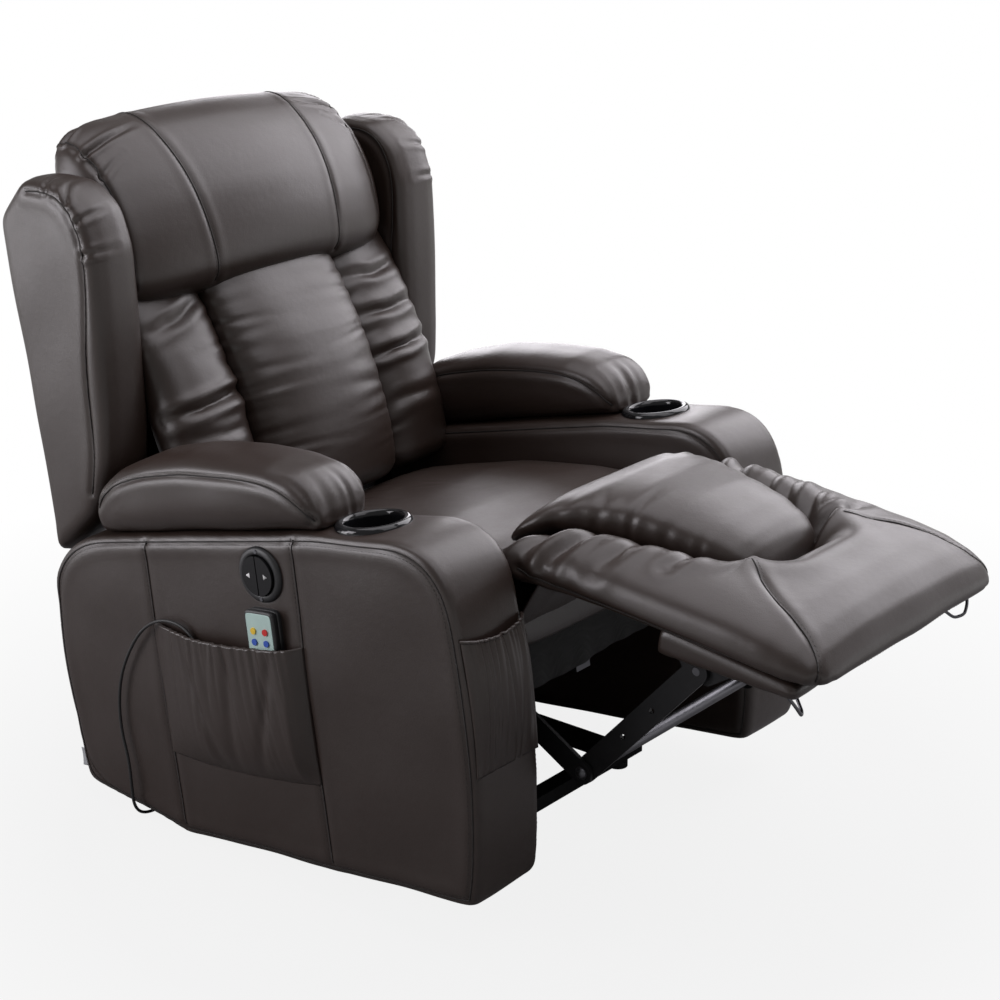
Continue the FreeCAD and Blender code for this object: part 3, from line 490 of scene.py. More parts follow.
@dataclass
class Shape:
    """Points in millimetres of one frame and four-sided faces."""

    points: Array
    faces: Array

    def normals(self) -> Array:
        """Finds which way each point faces.

        Returns:
            Unit normals at the points, from the faces around them.
        """
        p = self.points[self.faces]
        face = np.cross(p[:, 2] - p[:, 0], p[:, 3] - p[:, 1])
        total = np.zeros_like(self.points)
        for corner in range(4):
            np.add.at(total, self.faces[:, corner], face)
        return unit(total)

    def smooth(self, rounds: int, pull: float = 0.5) -> "Shape":
        """Moves each point towards the middle of its neighbours.

        Args:
            rounds: How often.
            pull: Share of the way per round.

        Returns:
            This shape.
        """
        first = self.faces.ravel()
        second = np.roll(self.faces, -1, axis=1).ravel()
        count = len(self.points)
        ends = np.concatenate([first, second])
        others = np.concatenate([second, first])
        weight = np.maximum(np.bincount(ends, minlength=count), 1)
        for _ in range(rounds):
            sums = [np.bincount(ends, self.points[others, axis], count) for axis in range(3)]
            mean = np.stack([total / weight for total in sums], axis=1)
            self.points = self.points + pull * (mean - self.points)
        return self

    def push(self, *reliefs: Relief) -> "Shape":
        """Moves points along their normals.

        Args:
            reliefs: Each gives millimetres outwards from points and normals.

        Returns:
            This shape.
        """
        for relief in reliefs:
            normals = self.normals()
            self.points = self.points + normals * relief(self.points, normals)[:, None]
        return self

    def without(self, dropped: Array) -> "Shape":
        """The shape less the faces whose middle a mask drops."""
        self.faces = self.faces[~dropped]
        return self

    def middles(self) -> Array:
        """Middles of the faces."""
        return self.points[self.faces].mean(axis=1)


def join(shapes: Sequence[Shape]) -> Shape:
    """Joins shapes without welding them.

    Args:
        shapes: The shapes, in order.

    Returns:
        One shape.
    """
    offsets = np.cumsum([0] + [len(shape.points) for shape in shapes[:-1]])
    return Shape(np.concatenate([shape.points for shape in shapes]),
                 np.concatenate([shape.faces + offset for shape, offset in zip(shapes, offsets)]))


def grid(points: Array, closed_u: bool = False) -> Shape:
    """A sheet from rows of points.

    Args:
        points: Rows by columns by three.
        closed_u: Whether each row closes on itself.

    Returns:
        The sheet as four-sided faces.
    """
    rows, columns = points.shape[:2]
    index = np.arange(rows * columns).reshape(rows, columns)
    if closed_u:
        index = np.concatenate([index, index[:, :1]], axis=1)
    faces = np.stack([index[:-1, :-1], index[:-1, 1:], index[1:, 1:], index[1:, :-1]], axis=-1)
    return Shape(points.reshape(-1, 3).copy(), faces.reshape(-1, 4))


def thick(points: Array, depth: float) -> Shape:
    """A sheet with thickness, its second skin behind the first and its rim closed.

    Args:
        points: Rows by columns by three.
        depth: Thickness in millimetres, along the negative normal.

    Returns:
        A closed shape.
    """
    front = grid(points)
    rear = Shape(front.points - front.normals() * depth, front.faces[:, ::-1])
    rows, columns = points.shape[:2]
    index = np.arange(rows * columns).reshape(rows, columns)
    rim = np.concatenate([index[0, :-1], index[:-1, -1], index[-1, :0:-1], index[:0:-1, 0]])
    after = np.roll(rim, -1)
    both = join([front, rear])
    shift = rows * columns
    both.faces = np.concatenate([both.faces, np.stack([after, rim, rim + shift, after + shift], axis=1)])
    return both


def remeshed(sections: Array, voxel: float, rounds: int = 4) -> Shape:
    """A dense even skin over a solid lofted through closed sections.

    Args:
        sections: Sections by points by three, each section a closed ring.
        voxel: Edge length of the skin in millimetres.
        rounds: Smoothing after the remesh.

    Returns:
        The skin.
    """
    count, ring = sections.shape[:2]
    body = grid(sections, closed_u=True)
    centres = np.stack([sections[0].mean(axis=0), sections[-1].mean(axis=0)])
    points = np.concatenate([body.points, centres])
    faces = [tuple(face) for face in body.faces.tolist()]
    last = (count - 1) * ring
    for index in range(ring):
        after = (index + 1) % ring
        faces.append((after, index, count * ring))
        faces.append((last + index, last + after, count * ring + 1))
    mesh = bpy.data.meshes.new("former")
    mesh.from_pydata((points * MM).tolist(), [], faces)
    former = linked("former", mesh)
    skin = former.modifiers.new("skin", "REMESH")
    skin.mode = "VOXEL"
    skin.voxel_size = voxel * MM * 1.0
    evaluated = former.evaluated_get(bpy.context.evaluated_depsgraph_get())
    dense = evaluated.to_mesh()
    spots = np.empty(len(dense.vertices) * 3)
    dense.vertices.foreach_get("co", spots)
    corners = np.empty(len(dense.polygons) * 4, dtype=np.int64)
    dense.polygons.foreach_get("vertices", corners)
    evaluated.to_mesh_clear()
    bpy.data.objects.remove(former)
    bpy.data.meshes.remove(mesh)
    return Shape(spots.reshape(-1, 3) / MM, corners.reshape(-1, 4)).smooth(rounds)


def arched(corners: Sequence[Sequence[float]], step: float = 6.0, ease: int = 10) -> Array:
    """A dense closed outline from corners, whose third number bulges the edge that follows.

    Args:
        corners: Pairs or triples in millimetres, anticlockwise.
        step: Spacing of the points.
        ease: Rounds of smoothing that soften the corners.

    Returns:
        Points by two.
    """
    points = []
    for index, corner in enumerate(corners):
        first = np.array(corner[:2], dtype=float)
        last = np.array(corners[(index + 1) % len(corners)][:2], dtype=float)
        bulge = corner[2] if len(corner) == 3 else 0.0
        chord = last - first
        outward = np.array([chord[1], -chord[0]]) / np.hypot(*chord)
        for share in np.arange(0.0, 1.0, step / max(np.hypot(*chord), step)):
            points.append(first + share * chord + outward * bulge * 4.0 * share * (1.0 - share))
    return eased(np.array(points), ease)


def inset(ring: Array, depth: float) -> Array:
    """An anticlockwise outline drawn in by a depth."""
    along = unit(np.roll(ring, -1, axis=0) - np.roll(ring, 1, axis=0))
    return ring - np.stack([along[:, 1], -along[:, 0]], axis=1) * depth


def cushion_slab(ring: Array, low: float, high: float, edge: float, belly: float = 0.0) -> Array:
    """Sections of a thick upright panel with rounded edges, spanning X.

    Args:
        ring: Outline in y and z.
        low: Lower X.
        high: Upper X.
        edge: Radius of the edges.
        belly: How far the strip between the edges swells.

    Returns:
        Sections for a loft.
    """
    sections = []
    turns = np.linspace(0.0, math.pi / 2, 6)
    stops = [(low + edge * (1 - math.cos(turn)), edge * (1 - math.sin(turn))) for turn in turns]
    middle = np.linspace(low + edge, high - edge, 7)[1:-1]
    stops += [(x, -belly * (1 - ((x - low) / (high - low) * 2 - 1) ** 2)) for x in middle]
    stops += [(high - edge * (1 - math.cos(turn)), edge * (1 - math.sin(turn))) for turn in turns[::-1]]
    for x, depth in stops:
        drawn = inset(ring, depth)
        sections.append(np.column_stack([np.full(len(drawn), x), drawn]))
    return np.array(sections)


def signed_power(value: Array, power: float) -> Array:
    """Power that keeps the sign."""
    return np.sign(value) * np.abs(value) ** power


def pillow(table: Sequence[Sequence[float]], square: float, centre: float = 0.0, stations: int = 40,
           ring: int = 72, waist: float = 0.5, under: Optional[float] = None) -> Array:
    """Sections of a stuffed pad along y: rounded boxes that change size smoothly.

    Args:
        table: Rows of place along y, half width, foot and crown.
        square: 2 is round, 5 is boxy.
        centre: X of the middle.
        stations: Sections to make.
        ring: Points in each section.
        waist: Share of the height at which it is widest.
        under: Squareness below the waist, if it differs.

    Returns:
        Sections for a loft.
    """
    rows = np.array(table, dtype=float)
    share = np.linspace(0.0, 1.0, stations)
    share = 0.5 - 0.5 * np.cos(share * math.pi)
    along = rows[0, 0] + share * (rows[-1, 0] - rows[0, 0])
    half, foot, crown = (np.interp(along, rows[:, 0], rows[:, column]) for column in (1, 2, 3))
    angle = np.linspace(0.0, 2 * math.pi, ring, endpoint=False)
    lower = np.sin(angle) < 0.0
    power = np.where(lower, under or square, square)
    across = signed_power(np.cos(angle), 2.0 / power)
    up = signed_power(np.sin(angle), 2.0 / power)
    x = centre + half[:, None] * across
    widest = foot + waist * (crown - foot)
    z = widest[:, None] + np.where(lower, (widest - foot)[:, None], (crown - widest)[:, None]) * up
    y = np.repeat(along[:, None], ring, axis=1)
    return np.stack([x, y, z], axis=-1)


# Sewing


def distance(points: Array, path: Array) -> Array:
    """Measures how far points are from a line.

    Args:
        points: Points by three.
        path: Points of the line, in order.

    Returns:
        Distance of each point.
    """
    best = np.full(len(points), 1e9)
    for first, last in zip(path[:-1], path[1:]):
        run = last - first
        share = np.clip(((points - first) @ run) / max(run @ run, TINY), 0.0, 1.0)
        best = np.minimum(best, np.linalg.norm(points - first - share[:, None] * run, axis=1))
    return best


def resampled(path: Array, step: float) -> Array:
    """A line through path points at an even spacing, with its corners eased.

    Args:
        path: Points by three.
        step: Spacing in millimetres.

    Returns:
        Evenly spaced points.
    """
    path = np.asarray(path, dtype=float)
    lengths = travelled(path)
    count = max(int(lengths[-1] / step), 2)
    even = np.linspace(0.0, lengths[-1], count)
    line = np.stack([np.interp(even, lengths, path[:, axis]) for axis in range(path.shape[1])], axis=1)
    for _ in range(8):
        line[1:-1] += 0.5 * ((line[:-2] + line[2:]) / 2 - line[1:-1])
    return line


@dataclass
class Seam:
    """A sewn line with one or two rows of stitches beside it."""

    path: Sequence
    depth: float = 2.6
    width: float = 3.8
    rows: tuple = (4.5, -4.5)
    puff: float = 0.7

    def relief(self, points: Array, normals: Array) -> Array:
        """Groove of the seam and the slight swell beside it.

        Args:
            points: Points of the skin.
            normals: Unit normals there.

        Returns:
            Millimetres outwards at each point.
        """
        away = distance(points, resampled(self.path, 15.0))
        swell = self.puff * np.exp(-((away - 3 * self.width) / (2 * self.width)) ** 2)
        return swell - self.depth * np.exp(-(away / self.width) ** 2)


@dataclass
class Gathers:
    """Small folds that run away from a seam and die out."""

    along: Callable[[Array], Array]
    away: Callable[[Array], Array]
    span: tuple
    count: int
    depth: float
    reach: float
    seed: int
    slant: float = 0.25
    width: float = 5.0

    def relief(self, points: Array, normals: Array) -> Array:
        """Sum of the folds.

        Args:
            points: Points of the skin.
            normals: Unit normals there.

        Returns:
            Millimetres outwards at each point.
        """
        draw = np.random.default_rng(self.seed)
        along = self.along(points)
        away = np.maximum(self.away(points), 0.0)
        total = np.zeros(len(points))
        for place in np.linspace(self.span[0], self.span[1], self.count):
            spot = place + draw.uniform(-0.4, 0.4) * abs(self.span[1] - self.span[0]) / self.count
            deep = self.depth * draw.uniform(0.45, 1.25)
            wide = self.width * draw.uniform(0.7, 1.6) * (1 + away / (2.5 * self.reach))
            far = self.reach * draw.uniform(0.5, 1.4)
            lean = draw.uniform(-self.slant, self.slant)
            off = (along - spot - lean * away) / wide
            total += deep * np.exp(-(away / far) ** 1.6) * (0.55 * np.exp(-((np.abs(off) - 1.9) / 1.1) ** 2)
                                                            - np.exp(-off ** 2))
        return total


@dataclass
class Crease:
    """One soft fold along a line, deepest in its middle."""

    path: Sequence
    depth: float
    width: float
    rooted: bool = False

    def relief(self, points: Array, normals: Array) -> Array:
        """Valley of the fold with a roll on each side.

        Args:
            points: Points of the skin.
            normals: Unit normals there.

        Returns:
            Millimetres outwards at each point.
        """
        line = resampled(self.path, 8.0)
        line = np.array([points[np.argmin(((points - spot) ** 2).sum(axis=1))] for spot in line])
        for _ in range(3):
            line[1:-1] = (line[:-2] + 2 * line[1:-1] + line[2:]) / 4
        away = distance(points, line) / self.width
        ends = np.minimum(np.linalg.norm(points - line[0], axis=1),
                          np.linalg.norm(points - line[-1], axis=1))
        length = np.linalg.norm(np.diff(line, axis=0), axis=1).sum()
        fade = np.clip(ends / (0.35 * length), 0.0, 1.0) ** 0.7
        if self.rooted:
            fade = np.clip(np.linalg.norm(points - line[-1], axis=1) / (0.7 * length), 0.0, 1.0)
        return self.depth * fade * (0.5 * np.exp(-((away - 2.0) / 1.1) ** 2) - np.exp(-away ** 1.3))


@dataclass
class Ripple:
    """Broad uneven wrinkling from a few long waves."""

    depth: float
    wave: float
    seed: int

    def relief(self, points: Array, normals: Array) -> Array:
        """Sum of waves in random directions.

        Args:
            points: Points of the skin.
            normals: Unit normals there.

        Returns:
            Millimetres outwards at each point.
        """
        draw = np.random.default_rng(self.seed)
        total = np.zeros(len(points))
        for _ in range(9):
            direction = draw.normal(size=3)
            direction /= np.linalg.norm(direction)
            length = self.wave * draw.uniform(0.6, 1.7)
            total += np.sin(points @ direction * 2 * math.pi / length + draw.uniform(0, 6.3))
        return self.depth * total / 3.0


@dataclass(frozen=True)
class Pleats:
    """Small upright folds that hang from a gathered hem."""

    spots: tuple
    jitter: float
    lean: float
    depth: tuple
    width: tuple
    fade: tuple
    base: float = 0.0

    def over(self, u: Array, w: Array, seed: int) -> Array:
        """Depth of the folds over a pocket.

        Args:
            u: Share of the way along the hem.
            w: Share of the way up to the hem.
            seed: Choice of folds.

        Returns:
            Millimetres inwards.
        """
        draw = np.random.default_rng(seed)
        folds = np.zeros_like(u)
        for spot in np.linspace(*self.spots):
            place = spot + draw.uniform(-self.jitter, self.jitter)
            place = place + (w - 1) * draw.uniform(-self.lean, self.lean)
            ridge = draw.uniform(*self.depth) * np.exp(-((u - place) / draw.uniform(*self.width)) ** 2)
            folds += ridge * (self.base + (1 - self.base) * w ** draw.uniform(*self.fade))
        return folds


class Stitching:
    """Thread dashes, and dark tubes of painted groove shade, laid on a finished skin."""

    PITCH = 7.0
    LONG = 4.6
    WIDE = 0.7
    # Radius of the dark tube that paints the shade in a seam's groove.
    GROOVE_SHADE_RADIUS = 1.2

    def __init__(self, skin: Shape) -> None:
        """Indexes the skin's points for quick search.

        Args:
            skin: The finished skin.
        """
        self.skin = skin
        self.normals = skin.normals()
        self.tree = KDTree(len(skin.points))
        for index, point in enumerate(skin.points):
            self.tree.insert(point, index)
        self.tree.balance()

    def landed(self, line: Array) -> tuple:
        """Lays a line on the skin.

        Args:
            line: Points on or near the skin.

        Returns:
            Points of the skin nearest to the line, and the normals there.
        """
        spots, ups = [], []
        for point in line:
            near = self.tree.find_n(point, 4)
            weights = np.array([1.0 / (found[2] + 0.5) for found in near])
            picked = [found[1] for found in near]
            up = (self.normals[picked] * weights[:, None]).sum(axis=0)
            up /= max(np.linalg.norm(up), TINY)
            base = (self.skin.points[picked] * weights[:, None]).sum(axis=0) / weights.sum()
            offset = point - base
            spots.append(base + offset - up * (offset @ up))
            ups.append(up)
        return np.array(spots), np.array(ups)

    def dashes(self, seam: Seam) -> Optional[Shape]:
        """All dashes of a seam.

        Args:
            seam: The seam, on or near the skin.

        Returns:
            One shape, or nothing where the seam has no stitches.
        """
        shapes = []
        line = resampled(seam.path, self.PITCH)
        for offset in seam.rows:
            centre, up = self.landed(line)
            along = unit(np.gradient(centre, axis=0))
            across = np.cross(up, along)
            centre, up = self.landed(centre + across * offset)
            shapes.append(self._row(centre + up * 0.25, along, across, up))
        return join(shapes) if shapes else None

    def joint(self, seam: Seam) -> Shape:
        """A dark tube laid in a seam's groove: painted shade where two panels meet."""
        centre, up = self.landed(resampled(seam.path, 5.0))
        return tube(centre + up * 0.2, self.GROOVE_SHADE_RADIUS, 6)

    def _row(self, centre: Array, along: Array, across: Array, up: Array) -> Shape:
        """Makes a small lozenge at each centre of a row.

        Args:
            centre: Middles of the dashes.
            along: Unit vectors along the row.
            across: Unit vectors across it.
            up: Normals of the skin.

        Returns:
            All the row's dashes.
        """
        corners = []
        for reach, wide, tall in ((-1, 0.35, -0.3), (-0.5, 1, 0.5), (0.5, 1, 0.5), (1, 0.35, -0.3)):
            for side in (-1, 1):
                flat = centre + along * (reach * self.LONG / 2) + across * (side * wide * self.WIDE / 2)
                corners.append(flat + up * (tall * self.WIDE))
        points = np.stack(corners, axis=1)
        pattern = np.array([[0, 1, 3, 2], [2, 3, 5, 4], [4, 5, 7, 6]])
        faces = (np.arange(len(centre))[:, None, None] * 8 + pattern[None]).reshape(-1, 4)
        return Shape(points.reshape(-1, 3), faces)


class Workshop:
    """Turns shapes into pieces that ride on the chair's bodies."""

    FILL = 0.8

    def __init__(self) -> None:
        """Makes the finishes."""
        self.finishes = Finishes()

    def piece(self, name: str, parts: Sequence[tuple], place: Place, body: Optional[Body], slot: str,
              nodes: Sequence[str] = ()) -> bpy.types.Object:
        """One mesh object from shapes with their finishes.

        Args:
            name: Name of the piece.
            parts: Pairs of shape and finish name.
            place: Frame of the shapes.
            body: Body that carries the piece, or nothing to leave it unattached.
            slot: The record's slot of the piece; not used.
            nodes: CAD nodes that it stands for.

        Returns:
            The object, riding on its body.
        """
        whole = join([shape for shape, _ in parts])
        mesh = bpy.data.meshes.new(name)
        mesh.from_pydata(place.row(whole.points).tolist(), [], whole.faces.tolist())
        finishes = list(dict.fromkeys(finish for _, finish in parts))
        for finish in finishes:
            mesh.materials.append(self.finishes[finish])
        numbers = np.concatenate([np.full(len(shape.faces), finishes.index(finish))
                                  for shape, finish in parts])
        mesh.polygons.foreach_set("material_index", numbers.astype(np.int32))
        mesh.polygons.foreach_set("use_smooth", np.ones(len(numbers), dtype=bool))
        mesh.validate()
        made = linked(name, mesh)
        bpy.context.view_layer.update()
        if nodes:
            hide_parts(*nodes)
        if body is not None:
            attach(made, body.value)
        LOG.info("%s: %d faces", name, len(numbers))
        return made

    def upholster(self, name: str, skin: Shape, place: Place, body: Optional[Body], seams: Sequence[Seam],
                  reliefs: Sequence[Relief], nodes: Sequence[str] = ()) -> bpy.types.Object:
        """A leather piece with its folds, seams, thread and the painted shade in its seams' grooves.

        Args:
            name: Name of the piece.
            skin: Dense skin in millimetres.
            place: Frame of the skin.
            body: Body that carries the piece, or nothing to leave it unattached.
            seams: Sewn lines.
            reliefs: Folds, bulges and wrinkles, applied before the seams.
            nodes: CAD nodes that it stands for.

        Returns:
            The object.
        """
        skin.push(*reliefs)
        if seams:
            laying = Stitching(skin)
            seams = [replace(seam, path=laying.landed(resampled(seam.path, 10.0))[0]) for seam in seams]
        skin.push(*[seam.relief for seam in seams])
        parts = [(skin, "brown_leather")]
        sewing = Stitching(skin) if seams else None
        for seam in seams:
            # A dark tube in the thread finish paints the shade in each seam's groove.
            parts.append((sewing.joint(seam), "dark_thread"))
            dashes = sewing.dashes(seam) if seam.rows else None
            if dashes is not None:
                parts.append((dashes, "dark_thread"))
        made = self.piece(name, parts, place, body, "brown_leather", nodes)
        return made


def lathe(profile: Sequence[Sequence[float]], centre: Sequence[float], axis: Axis = Axis.UP,
          turns: int = 64) -> Shape:
    """A turned shape.

    Args:
        profile: Pairs of radius and height.
        centre: Foot of the axis.
        axis: Upright, or out to the sitter's right.
        turns: Points around.

    Returns:
        The turned skin.
    """
    angle = np.linspace(0.0, 2 * math.pi, turns, endpoint=False)
    radius = np.array(profile)[:, 0][:, None]
    height = np.repeat(np.array(profile)[:, 1][:, None], turns, axis=1)
    first = radius * np.cos(angle)
    second = radius * np.sin(angle)
    order = [first, second, height] if axis is Axis.UP else [-height, first, second]
    return grid(np.stack(order, axis=-1) + np.array(centre), closed_u=True)


def tube(path: Array, radius: float, sides: int = 10) -> Shape:
    """Makes a round bar along a line.

    Args:
        path: Points of the line.
        radius: Radius of the bar.
        sides: Points around.

    Returns:
        The bar, open at its ends.
    """
    along = unit(np.gradient(path, axis=0))
    guide = np.array([0.31, 0.17, 0.94])
    first = unit(np.cross(along, guide))
    second = np.cross(along, first)
    angle = np.linspace(0.0, 2 * math.pi, sides, endpoint=False)
    ring = first[:, None] * np.cos(angle)[None, :, None] + second[:, None] * np.sin(angle)[None, :, None]
    return grid(path[:, None] + radius * ring, closed_u=True)


def laid(sections: Array) -> Array:
    """Sections of a pad that lies on its back, stood up against a leaning board."""
    return np.stack([sections[..., 0], -sections[..., 2], sections[..., 1]], axis=-1)


# Sub-assemblies


@dataclass
class Assembly:
    """Part of the chair whose pieces one workshop makes."""

    shop: Workshop


@dataclass
class Arm(Assembly):
    """One padded arm with its pad, cup holder and front pocket."""

    side: Side
    inner: float = 270.0
    wide: float = 145.0
    edge: float = 12.0
    deck: float = 529.3
    deck_front: float = -192.0
    deck_slope: float = 0.1068
    corners: tuple = ((-423, 5), (169, 7), (392, 58, 12), (401, 402, 18), (276, 480), (-192, 529),
                      (-306, 530, 54), (-445, 406, 16))
    panel_seams: tuple = ((165.0, 488.0), (-152.0, 522.0))
    swell: float = 5.0
    swell_back: tuple = (-25.0, 400.0)
    swell_high: tuple = (270.0, 250.0)
    recess_depth: float = 9.0
    recess_radius: float = 39.0
    recess_slope: float = 8.0
    cup_back: float = -249.0
    cup_bore: float = 47.0
    cup_cut: float = 490.0
    cup_profile: tuple = (
        (0.01, -73.5), (30, -73.5), (37, -72), (40.5, -68), (41.2, -40), (42, 0), (42.4, 4.0), (43.6, 7.2),
        (45.6, 9.4), (48.4, 10.0), (51.6, 9.2), (54.4, 7.0), (56.0, 4.0), (56.4, 1.0), (56.4, -0.4),
        (46, -1.0), (44.2, -4), (43.4, -40), (42.6, -70), (38, -75.5), (0.01, -75.5))
    pad_out: float = 82.0
    pad_reach: float = 71.0
    pad_rows: tuple = (
        (-200, 44, 556), (-196, 54, 573), (-184, 62, 593), (-160, 67, 611), (-110, 71, 623), (-30, 72, 628),
        (60, 72, 627), (150, 71, 613), (215, 68, 592), (255, 62, 565), (272, 54, 540), (280, 44, 520))
    pad_seam: tuple = ((272, 528), (240, 563), (170, 586), (60, 600), (-60, 603), (-130, 596), (-172, 578))
    pad_nose: tuple = (-198, 545)
    pocket_low: float = 203.0
    pocket_high: float = 403.0
    pocket_bulge: float = 19.0
    pleats: Pleats = Pleats((0.06, 0.94, 13), 0.02, 0.08, (1.6, 5.0), (0.016, 0.03), (0.8, 2.5), 0.25)

    @property
    def sign(self) -> int:
        """Sign of X on this side."""
        return self.side.value

    @property
    def middle(self) -> float:
        """X of the arm's middle."""
        return self.sign * (self.inner + self.wide / 2)

    def build(self) -> None:
        """Makes all of the arm's pieces."""
        self.body()
        self.pad()
        self.cup()
        self.front_pocket()

    def body(self) -> None:
        """The boxed arm with its edge seams and upright panel seams."""
        ring = arched(self.corners)
        outer = self.sign * (self.inner + self.wide)
        near, far = sorted((self.sign * self.inner, outer))
        skin = remeshed(cushion_slab(ring, near, far, self.edge, 2.0), 5.0, 5)
        middles = skin.middles()
        well = np.hypot(middles[:, 0] - self.middle, middles[:, 1] - self.cup_back) < self.cup_bore
        skin.without(well & (middles[:, 2] > self.cup_cut))

        def belly(points: Array, normals: Array) -> Array:
            """Swell of both sides."""
            plump = dome(points[:, 1], *self.swell_back) * dome(points[:, 2], *self.swell_high)
            return self.swell * plump * np.clip(np.abs(normals[:, 0]) * 2 - 1, 0, 1)

        def recess(points: Array, normals: Array) -> Array:
            """Room behind the switch for its keys to travel.

            Args:
                points: Points of the skin.
                normals: Unit normals there.

            Returns:
                Millimetres outwards at each point.
            """
            away = np.hypot(points[:, 1] - SWITCH[0], points[:, 2] - SWITCH[1])
            room = np.clip((self.recess_radius - away) / self.recess_slope, 0, 1)
            return -self.recess_depth * room * (self.sign * normals[:, 0] > 0.5)

        drawn = inset(ring, self.edge * 0.75)
        loop = np.vstack([drawn, drawn[:1]])
        seams = [Seam(np.column_stack([np.full(len(loop), x), loop]), 2.4, 5.0, (-6.0,))
                 for x in (outer - self.sign * 2, self.sign * (self.inner + 2))]
        proud = outer + self.sign * 4
        for back, top in self.panel_seams:
            seams.append(Seam([(proud, back, 22.0), (proud, back, top)], 2.4, 5.0, (5.0,)))
        wobble = Ripple(0.9, 170.0, 11 + self.sign)
        self.shop.upholster(f"arm_cover_{self.side.name}", skin, UPRIGHT, Body.SEAT, seams,
                            [belly, wobble.relief] + ([recess] if self.side is Side.R else []),
                            [f"arm_{self.side.name}"])

    def pad(self) -> None:
        """The plump pad with a band sewn round its lower half."""
        table = [(back, half, self.deck - (back - self.deck_front) * self.deck_slope - 1.0, crown)
                 for back, half, crown in self.pad_rows]
        centre = self.sign * (self.inner + self.pad_out)
        skin = remeshed(pillow(table, 3.0, centre), 4.0, 6)
        seams = []
        for reach in (self.pad_reach, -self.pad_reach):
            x = centre + self.sign * reach
            nose = (centre + self.sign * reach * 0.8, *self.pad_nose)
            seams.append(Seam([(x, *spot) for spot in self.pad_seam] + [nose], rows=(5.0,)))
        fan = Gathers(lambda p: p[:, 0], lambda p: p[:, 1] - self.deck_front, (centre - 50, centre + 50), 4,
                      1.8, 46.0, 21 + self.sign)
        rear = Gathers(lambda p: p[:, 0], lambda p: 262.0 - p[:, 1], (centre - 60, centre + 60), 6, 2.2,
                       40.0, 31 + self.sign)
        soft = Ripple(0.9, 150.0, 41 + self.sign)
        self.shop.upholster(f"arm_rest_pad_{self.side.name}", skin, UPRIGHT, Body.SEAT, seams,
                            [fan.relief, rear.relief, soft.relief], [f"arm_pad_{self.side.name}"])

    def cup(self) -> None:
        """Turned cup with a rounded flange."""
        shape = lathe(self.cup_profile, (self.middle, self.cup_back, self.deck), turns=96)
        self.shop.piece(f"cup_bowl_{self.side.name}", [(shape, "gloss_black")], UPRIGHT, Body.SEAT,
                        "gloss_black", [f"cup_holder_{self.side.name}"])

    def front_pocket(self) -> None:
        """Gathered pocket of thin leather on the arm's nose."""
        ring = arched(self.corners)
        nose = ring[(ring[:, 1] < 420) & (ring[:, 0] < -380)]
        nose = nose[np.argsort(nose[:, 1])]
        u, w = np.meshgrid(np.linspace(0.0, 1.0, 70), np.linspace(0.0, 1.0, 60))
        hem = self.pocket_high - 10.0 * np.sin(math.pi * u)
        z = self.pocket_low + w * (hem - self.pocket_low)
        face = np.interp(z, nose[:, 1], nose[:, 0])
        x = self.sign * (self.inner + 6.0 + u * (self.wide - 12.0))
        swell = np.clip(np.minimum(u, 1 - u) / 0.16, 0, 1) ** 0.6
        folds = self.pleats.over(u, w, 61 + self.sign)
        fullness = (1 - (1 - w) ** 2.2) * (1 - 0.25 * w ** 6)
        out = 2.0 + self.pocket_bulge * swell * fullness - folds * swell
        points = np.stack([x, face - out, z], axis=-1)
        if self.sign > 0:
            points = points[:, ::-1]
        shape = thick(points[:, ::-1], 2.2)
        rim = tube(points[-1] + np.array([0.0, 1.0, -1.5]), 2.6)
        made = self.shop.piece(f"front_pouch_{self.side.name}", [(shape, "brown_leather")], UPRIGHT,
                               Body.SEAT, "brown_leather", [f"front_pocket_{self.side.name}"])
        hem_piece = self.shop.piece(f"front_pouch_hem_{self.side.name}", [(rim, "brown_leather")], UPRIGHT,
                                    Body.SEAT, "brown_leather")


